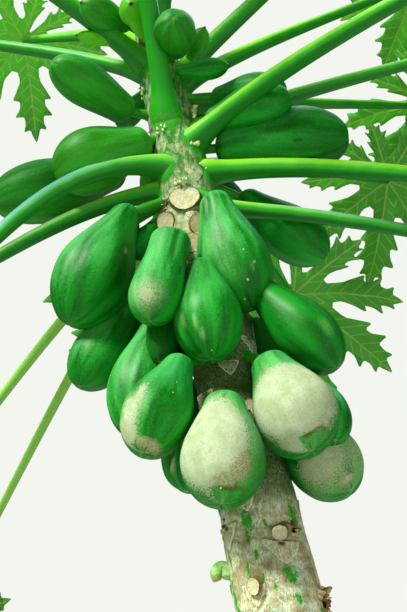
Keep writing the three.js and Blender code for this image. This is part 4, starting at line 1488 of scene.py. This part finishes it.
def leafFinish():
    finish, tree = newFinish("papaya leaf")
    look = leafLook
    space = addNode(tree, "ShaderNodeAttribute", attribute_name="leafSpace").outputs["Vector"]
    underside = addNode(tree, "ShaderNodeAttribute", attribute_name="underside").outputs["Fac"]
    veinMark = addNode(tree, "ShaderNodeAttribute", attribute_name="veinMark").outputs["Fac"]
    parts = addNode(tree, "ShaderNodeSeparateXYZ", (space,)).outputs
    half = math.radians(bladeSettings["spread"]) / 2
    angle = addNode(tree, "ShaderNodeMath", (parts["Y"], parts["X"]), operation="ARCTAN2")
    off = addNode(tree, "ShaderNodeMath", (angle, half, -half), operation="WRAP")
    cosine = addNode(tree, "ShaderNodeMath", (off,), operation="COSINE")
    sine = addNode(tree, "ShaderNodeMath", (off,), operation="SINE")
    sine = addNode(tree, "ShaderNodeMath", (sine,), operation="ABSOLUTE")
    reach = addNode(tree, "ShaderNodeVectorMath", (space,), operation="LENGTH")
    along = addNode(tree, "ShaderNodeMath", (reach, cosine), operation="MULTIPLY")
    aside = addNode(tree, "ShaderNodeMath", (reach, sine), operation="MULTIPLY")
    width = addNode(tree, "ShaderNodeMath", (along, -0.006, 0.0095), operation="MULTIPLY_ADD")
    midLine = addNode(tree, "ShaderNodeMath", (aside, width), operation="DIVIDE")
    midLine = addNode(tree, "ShaderNodeMapRange", (midLine, 0.7, 1.3, 1.0, 0.0))

    # side veins leave the main ones at 45 degrees, about 35 mm apart
    wave = addNode(tree, "ShaderNodeMath", (along, aside), operation="SUBTRACT")
    wave = addNode(tree, "ShaderNodeMath", (wave, 10.5), operation="MULTIPLY")
    wave = addNode(tree, "ShaderNodeMath", (wave,), operation="FRACT")
    wave = addNode(tree, "ShaderNodeMath", (wave, 0.5), operation="SUBTRACT")
    wave = addNode(tree, "ShaderNodeMath", (wave,), operation="ABSOLUTE")
    sideLine = addNode(tree, "ShaderNodeMapRange", (wave, 0.035, 0.06, 0.75, 0.0))
    outer = addNode(tree, "ShaderNodeMapRange", (reach, 0.1, 0.16))
    sideLine = addNode(tree, "ShaderNodeMath", (sideLine, outer), operation="MULTIPLY")
    veins = addNode(tree, "ShaderNodeMath", (midLine, sideLine), operation="MAXIMUM")
    veins = addNode(tree, "ShaderNodeMath", (veins, veinMark), operation="MAXIMUM")

    blotch = addNode(tree, "ShaderNodeTexNoise", (space, 7.0, 4.0))
    upper = painted(tree, look["upper"], (blotch, 0.35, 0.68, 0, 1, look["upperLight"]))
    colour = painted(tree, upper,
                     (underside, 0, 1, 0, 1, look["lower"]),
                     (veins, 0, 1, 0, 1, look["vein"]))
    through = painted(tree, look["through"], (veins, 0, 1, 0, 1, look["veinThrough"]))
    endFinish(tree, colour, rough=0.55, specular=0.35, relief=(veins, 0.3, 0.002), through=through)
    return finish


# Young leaves at the tip: upright stalks with small blades, still half folded

youngSettings = {
    "count": 13,
    "foot": 3365,
    "rise": 11.0,  # mm up the stem from each to the next
    "long": (430, 560),
    "pitch": (68, 86),
    "girth": (16, 30),
    "blade": (120, 215),
    "firstBearing": 60,
    "sag": 8,  # degrees that the oldest stalk bends outwards
    "steps": 30,
    "seed": 5,
}


def youngLeaves():
    luck = random.Random(youngSettings["seed"])
    stalks, leaves = [], []
    count = youngSettings["count"]
    for i in range(count):
        age = 1 - i / (count - 1)  # 1 for the oldest
        height = min(youngSettings["foot"] + youngSettings["rise"] * i, stemTop + 4)
        bearing = youngSettings["firstBearing"] + goldenAngle * i
        low, high = youngSettings["pitch"]
        pitch = high - (high - low) * age + luck.uniform(-3, 3)
        newest, oldest = youngSettings["long"]
        long = np.interp(age, [0, 0.35, 1], [newest * 0.35, newest, oldest])
        girth = np.interp(age, [0, 1], youngSettings["girth"])
        blade = np.interp(age, [0, 1], youngSettings["blade"])
        share = np.linspace(0, 1, youngSettings["steps"])
        pitches = pitch - youngSettings["sag"] * age * share ** 2
        moves = heading(bearing, pitches) * long / (youngSettings["steps"] - 1)
        foot = stemMiddle(min(height, stemTop)) + np.array([0, 0, max(0, height - stemTop)])
        foot = foot + heading(bearing, 0) * (stemRadius(height) * 0.55)
        line = foot + np.vstack([np.zeros(3), np.cumsum(moves[:-1], axis=0)])
        half = girth / 2 * (1 - 0.5 * share) * (1 + 0.3 * hump(share, 0.1))
        stalks.append((line, half, share, heading(bearing + 90, 0), 0.0, 1.0))
        axes = leafAxes(bearing, 22 - 45 * age, luck.uniform(-8, 8))
        shape = {"openPitch": -56 + 42 * age, "droopPitch": -52 + 8 * age, "fold": 0.75, "wave": 0.02}
        leaves.append((axes, line[-1] + axes[2] * 3, blade, shape, 40 + i))
    return stalks, leaves


# Flower buds and small bracts in the leaf axils

budSettings = {
    "sides": 9,
    "rings": 8,
    "plump": 0.27,  # half a bud's width, as a share of its length
    "seed": 31,
    "first": [(2800, 346, 9), (2806, 350, 8)],  # height, bearing and size of the clusters at the front
    "clusters": 26,  # and more of them, all round
    "heights": (2850, 3330),
    "size": (6, 12),
    "perCluster": 5,
    "whim": (0.8, 1.2),  # least and most that chance makes of a bud's size
    "cup": "#7fb93c",
    "petal": "#f0efb4",
}


def budShape():
    # a closed pointed bud, one unit long along z
    share = np.linspace(0.04, 0.97, budSettings["rings"])[:, None]
    turn = circle(budSettings["sides"])[None]
    radius = budSettings["plump"] * np.sin(math.pi * share ** 0.8) * (1 + 0.12 * np.cos(3 * turn))
    rings = vectors(radius * np.cos(turn), radius * np.sin(turn), share)
    shell = closedLoft(rings, {"budShare": share * np.ones_like(turn)})
    shell["points"] = shell["points"] / millimetre
    return shell


def budGrowth():
    # one bud on each point, turned along its facing
    tree, inputs = newGrowth("flower buds", [("Bud", "Object"), ("Size", "Float"), ("Seed", "Int"),
                                             ("Skin", "Material")])
    shape = addNode(tree, "GeometryNodeObjectInfo", {"Object": inputs["Bud"]}).outputs["Geometry"]
    facing = addNode(tree, "GeometryNodeInputNamedAttribute", {"Name": "facing"}, data_type="FLOAT_VECTOR")
    turned = addNode(tree, "FunctionNodeAlignRotationToVector", {"Vector": facing}, axis="Z")
    size = addNode(tree, "GeometryNodeInputNamedAttribute", {"Name": "size"}, data_type="FLOAT")
    least, most = budSettings["whim"]
    whim = addNode(tree, "FunctionNodeRandomValue",
                   {2: least, 3: most, "Seed": inputs["Seed"]}, data_type="FLOAT")
    scale = addNode(tree, "ShaderNodeMath", (size, whim), operation="MULTIPLY")
    scale = addNode(tree, "ShaderNodeMath", (scale, inputs["Size"]), operation="MULTIPLY")
    placed = addNode(tree, "GeometryNodeInstanceOnPoints",
                     {"Points": inputs["Geometry"], "Instance": shape, "Rotation": turned, "Scale": scale})
    endGrowth(tree, placed, inputs["Skin"])
    return tree


def budPoints():
    luck = random.Random(budSettings["seed"])
    spots = list(budSettings["first"])
    for _ in range(budSettings["clusters"]):
        spots.append((luck.uniform(*budSettings["heights"]), luck.uniform(0, 360),
                      luck.uniform(*budSettings["size"])))
    points, facings, sizes = [], [], []
    for height, bearing, size in spots:
        for _ in range(budSettings["perCluster"]):
            turn = bearing + luck.uniform(-12, 12)
            up = height + luck.uniform(-9, 9)
            points.append(stemMiddle(up) + heading(turn, 0) * (stemRadius(up) + 1.5))
            facings.append(heading(turn + luck.uniform(-30, 30), luck.uniform(10, 60)))
            sizes.append(size * luck.uniform(0.7, 1.5))
    return np.array(points), np.array(facings), np.array(sizes)


def budFinish():
    # waxy flower bud: cream-white petals above a green cup
    finish, tree = newFinish("flower bud")
    share = addNode(tree, "ShaderNodeAttribute", attribute_name="budShare").outputs["Fac"]
    colour = painted(tree, budSettings["cup"], (share, 0.25, 0.5, 0, 1, budSettings["petal"]))
    endFinish(tree, colour, rough=0.5)
    return finish


# Building the tree

bark = barkFinish()
cutStalk = stubFinish()
skin = skinFinish()
waxyStalk = stalkFinish()
leafGreen = leafFinish()
budCream = budFinish()

stem = shellPiece("stem", stemShell(), bark)
settle(stem, "bark", "trunk")
print("stem", len(stem.data.polygons))

stubShells = [stubShell(*stub) for stub in stubSettings["stubs"]]
stubShells += [holeShadowShell(*hollow) for hollow in stubSettings["holeShadows"]]
for torn in stubSettings["torn"]:
    stubShells += chipShells(*torn)
stubShells.append(curlShell(*stubSettings["curl"]))
cutStubs = shellPiece("cut_stubs", joinedShell(stubShells), cutStalk)
settle(cutStubs, "bark")
print("stubs", len(cutStubs.data.polygons))

skinTree = skinGrowth()


def fruitPiece(name, shell, seed, *nodes):
    piece = grow(name, shellMesh(name, shell), skinTree, {
        "Dent depth": fruitSettings["dentDepth"] * millimetre,
        "Dent size": fruitSettings["dentSize"] * millimetre, "Seed": float(seed), "Skin": skin})
    settle(piece, "fruit_skin", *nodes)
    return piece


for i, row in enumerate(fruitRows):
    node = f"fruit_{i + 1:02d}"
    fruitPiece(f"papaya_{i + 1:02d}", fruitShell(row, i, 100 + i), i * 3.7, node)
for k, (node, rows) in enumerate(fruitBunches.items()):
    shells = [fruitShell(row, 100 + 10 * k + j, 200 + 10 * k + j) for j, row in enumerate(rows)]
    fruitPiece(node.replace("fruit", "papayas"), joinedShell(shells), 80.0 + k, node)
shells = [fruitShell(row, 200 + j, 300 + j) for j, row in enumerate(smallFruits)]
fruitPiece("papayas_small", joinedShell(shells), 91.0)
print("fruits")

stalkTree = stalkGrowth()
veinTree = veinGrowth()
for i, row in enumerate(leafRows):
    number = f"{i + 1:02d}"
    height, bearing, rise, bend, long, girth, blade, tilt, roll, wax = row
    line = stalkLine(row)
    half = stalkRadius(np.linspace(0, 1, len(line)), girth)
    yellowed = stalkSettings["yellowed"].get(i + 1, 0.0)
    rooted = rootedStalk(line, half, bearing, wax, yellowed)
    stalk = stalkPiece("leaf_stalk_" + number, [rooted], stalkTree, waxyStalk)
    settle(stalk, "leaf_stalk", "stalk_" + number)
    axes = leafAxes(bearing, tilt, roll)
    end = line[-1] + axes[2] * (half[-1] * 0.6)
    source = leafSource("leaf_" + number, [(axes, end, blade, bladeSettings, i + 1)])
    leaf = grow("leaf_" + number, source, veinTree,
                {"Vein sides": bladeSettings["veinSides"], "Skin": leafGreen})
    settle(leaf, "leaf_blade", "blade_" + number)
print("leaves")

youngStalks, youngBlades = youngLeaves()
stalk = stalkPiece("young_stalks", youngStalks, stalkTree, waxyStalk)
settle(stalk, "leaf_stalk")
leaf = grow("young_blades", leafSource("young_blades", youngBlades), veinTree,
            {"Vein sides": bladeSettings["veinSides"], "Skin": leafGreen})
settle(leaf, "leaf_blade", "young_leaves")

budObject = bpy.data.objects.new("bud.shape", shellMesh("bud.shape", budShape()))
bpy.context.scene.collection.objects.link(budObject)
places, facings, sizes = budPoints()
source = shellMesh("flower_buds", lineShell(places, {"facing": facings, "size": sizes * millimetre}))
buds = grow("flower_buds", source, budGrowth(),
            {"Bud": budObject, "Size": 1.0, "Seed": budSettings["seed"], "Skin": budCream})
bpy.data.objects.remove(budObject)
settle(buds, "leaf_stalk")
print("crown")


# Floor, light and camera

studio = {
    "floorSize": 30,
    "keyPlace": (-3.4, -3.2, 6.2),
    "keyAim": (-0.35, 0.0, 2.6),
    "keyStrength": 5.2,
    "keySoftness": 14,  # degrees across, as a big softbox
    "keyColour": "#fbfff2",
    "fillPlace": (3.6, -3.4, 2.2),
    "fillPower": 40,
    "fillSize": 3.0,
    "fillColour": "#f4fbff",
    "skyPlace": (0.8, 1.0, 7.0),
    "skyPower": 90,
    "skySize": 3.0,
    "skyColour": "#dcecff",
    "floorColour": "#c8cbc6",
    "worldStrength": 0.18,
    "backdrop": "#f3f6ef",
    "eye": (-0.345, -1.65, 1.60),
    "eyeUp": 30,
    "lens": 58.88,
}


def studioLamp(name, kind, place, aim, power, colour, **settings):
    lamp = bpy.data.lights.new(name, kind)
    lamp.energy = power
    lamp.color = linearColour(colour)[:3]
    for key, value in settings.items():
        setattr(lamp, key, value)
    holder = bpy.data.objects.new(name, lamp)
    holder.location = place
    holder.rotation_euler = (Vector(aim) - Vector(place)).to_track_quat("-Z", "Y").to_euler()
    bpy.context.scene.collection.objects.link(holder)


def studioScene():
    scene = bpy.context.scene
    half = studio["floorSize"] / 2
    ground = bpy.data.meshes.new("floor")
    corners = [(-half, -half, 0), (half, -half, 0), (half, half, 0), (-half, half, 0)]
    ground.from_pydata(corners, [], [(0, 1, 2, 3)])
    floor = bpy.data.objects.new("floor", ground)
    scene.collection.objects.link(floor)
    pale, tree = newFinish("pale floor")
    endFinish(tree, studio["floorColour"], rough=0.9)
    ground.materials.append(pale)

    # the backdrop is bright to look at, but lights the tree only weakly
    world = bpy.data.worlds.new("studio")
    world.use_nodes = True
    tree = world.node_tree
    tree.nodes.clear()
    seen = addNode(tree, "ShaderNodeLightPath").outputs["Is Camera Ray"]
    strength = addNode(tree, "ShaderNodeMapRange", (seen, 0, 1, studio["worldStrength"], 1))
    glow = addNode(tree, "ShaderNodeBackground", (studio["backdrop"], strength))
    addNode(tree, "ShaderNodeOutputWorld", {"Surface": glow})
    scene.world = world

    aim = studio["keyAim"]
    studioLamp("key", "SUN", studio["keyPlace"], aim, studio["keyStrength"], studio["keyColour"],
               angle=math.radians(studio["keySoftness"]))
    studioLamp("fill", "AREA", studio["fillPlace"], aim, studio["fillPower"], studio["fillColour"],
               size=studio["fillSize"])
    studioLamp("sky", "AREA", studio["skyPlace"], aim, studio["skyPower"], studio["skyColour"],
               size=studio["skySize"])

    view = bpy.data.cameras.new("camera")
    view.lens = studio["lens"]
    view.sensor_width = 36
    view.clip_start = 0.05
    eye = bpy.data.objects.new("camera", view)
    eye.location = studio["eye"]
    eye.rotation_euler = (math.radians(90 + studio["eyeUp"]), 0, 0)
    scene.collection.objects.link(eye)
    scene.camera = eye
    scene.view_settings.view_transform = "Standard"


studioScene()
print("studio")
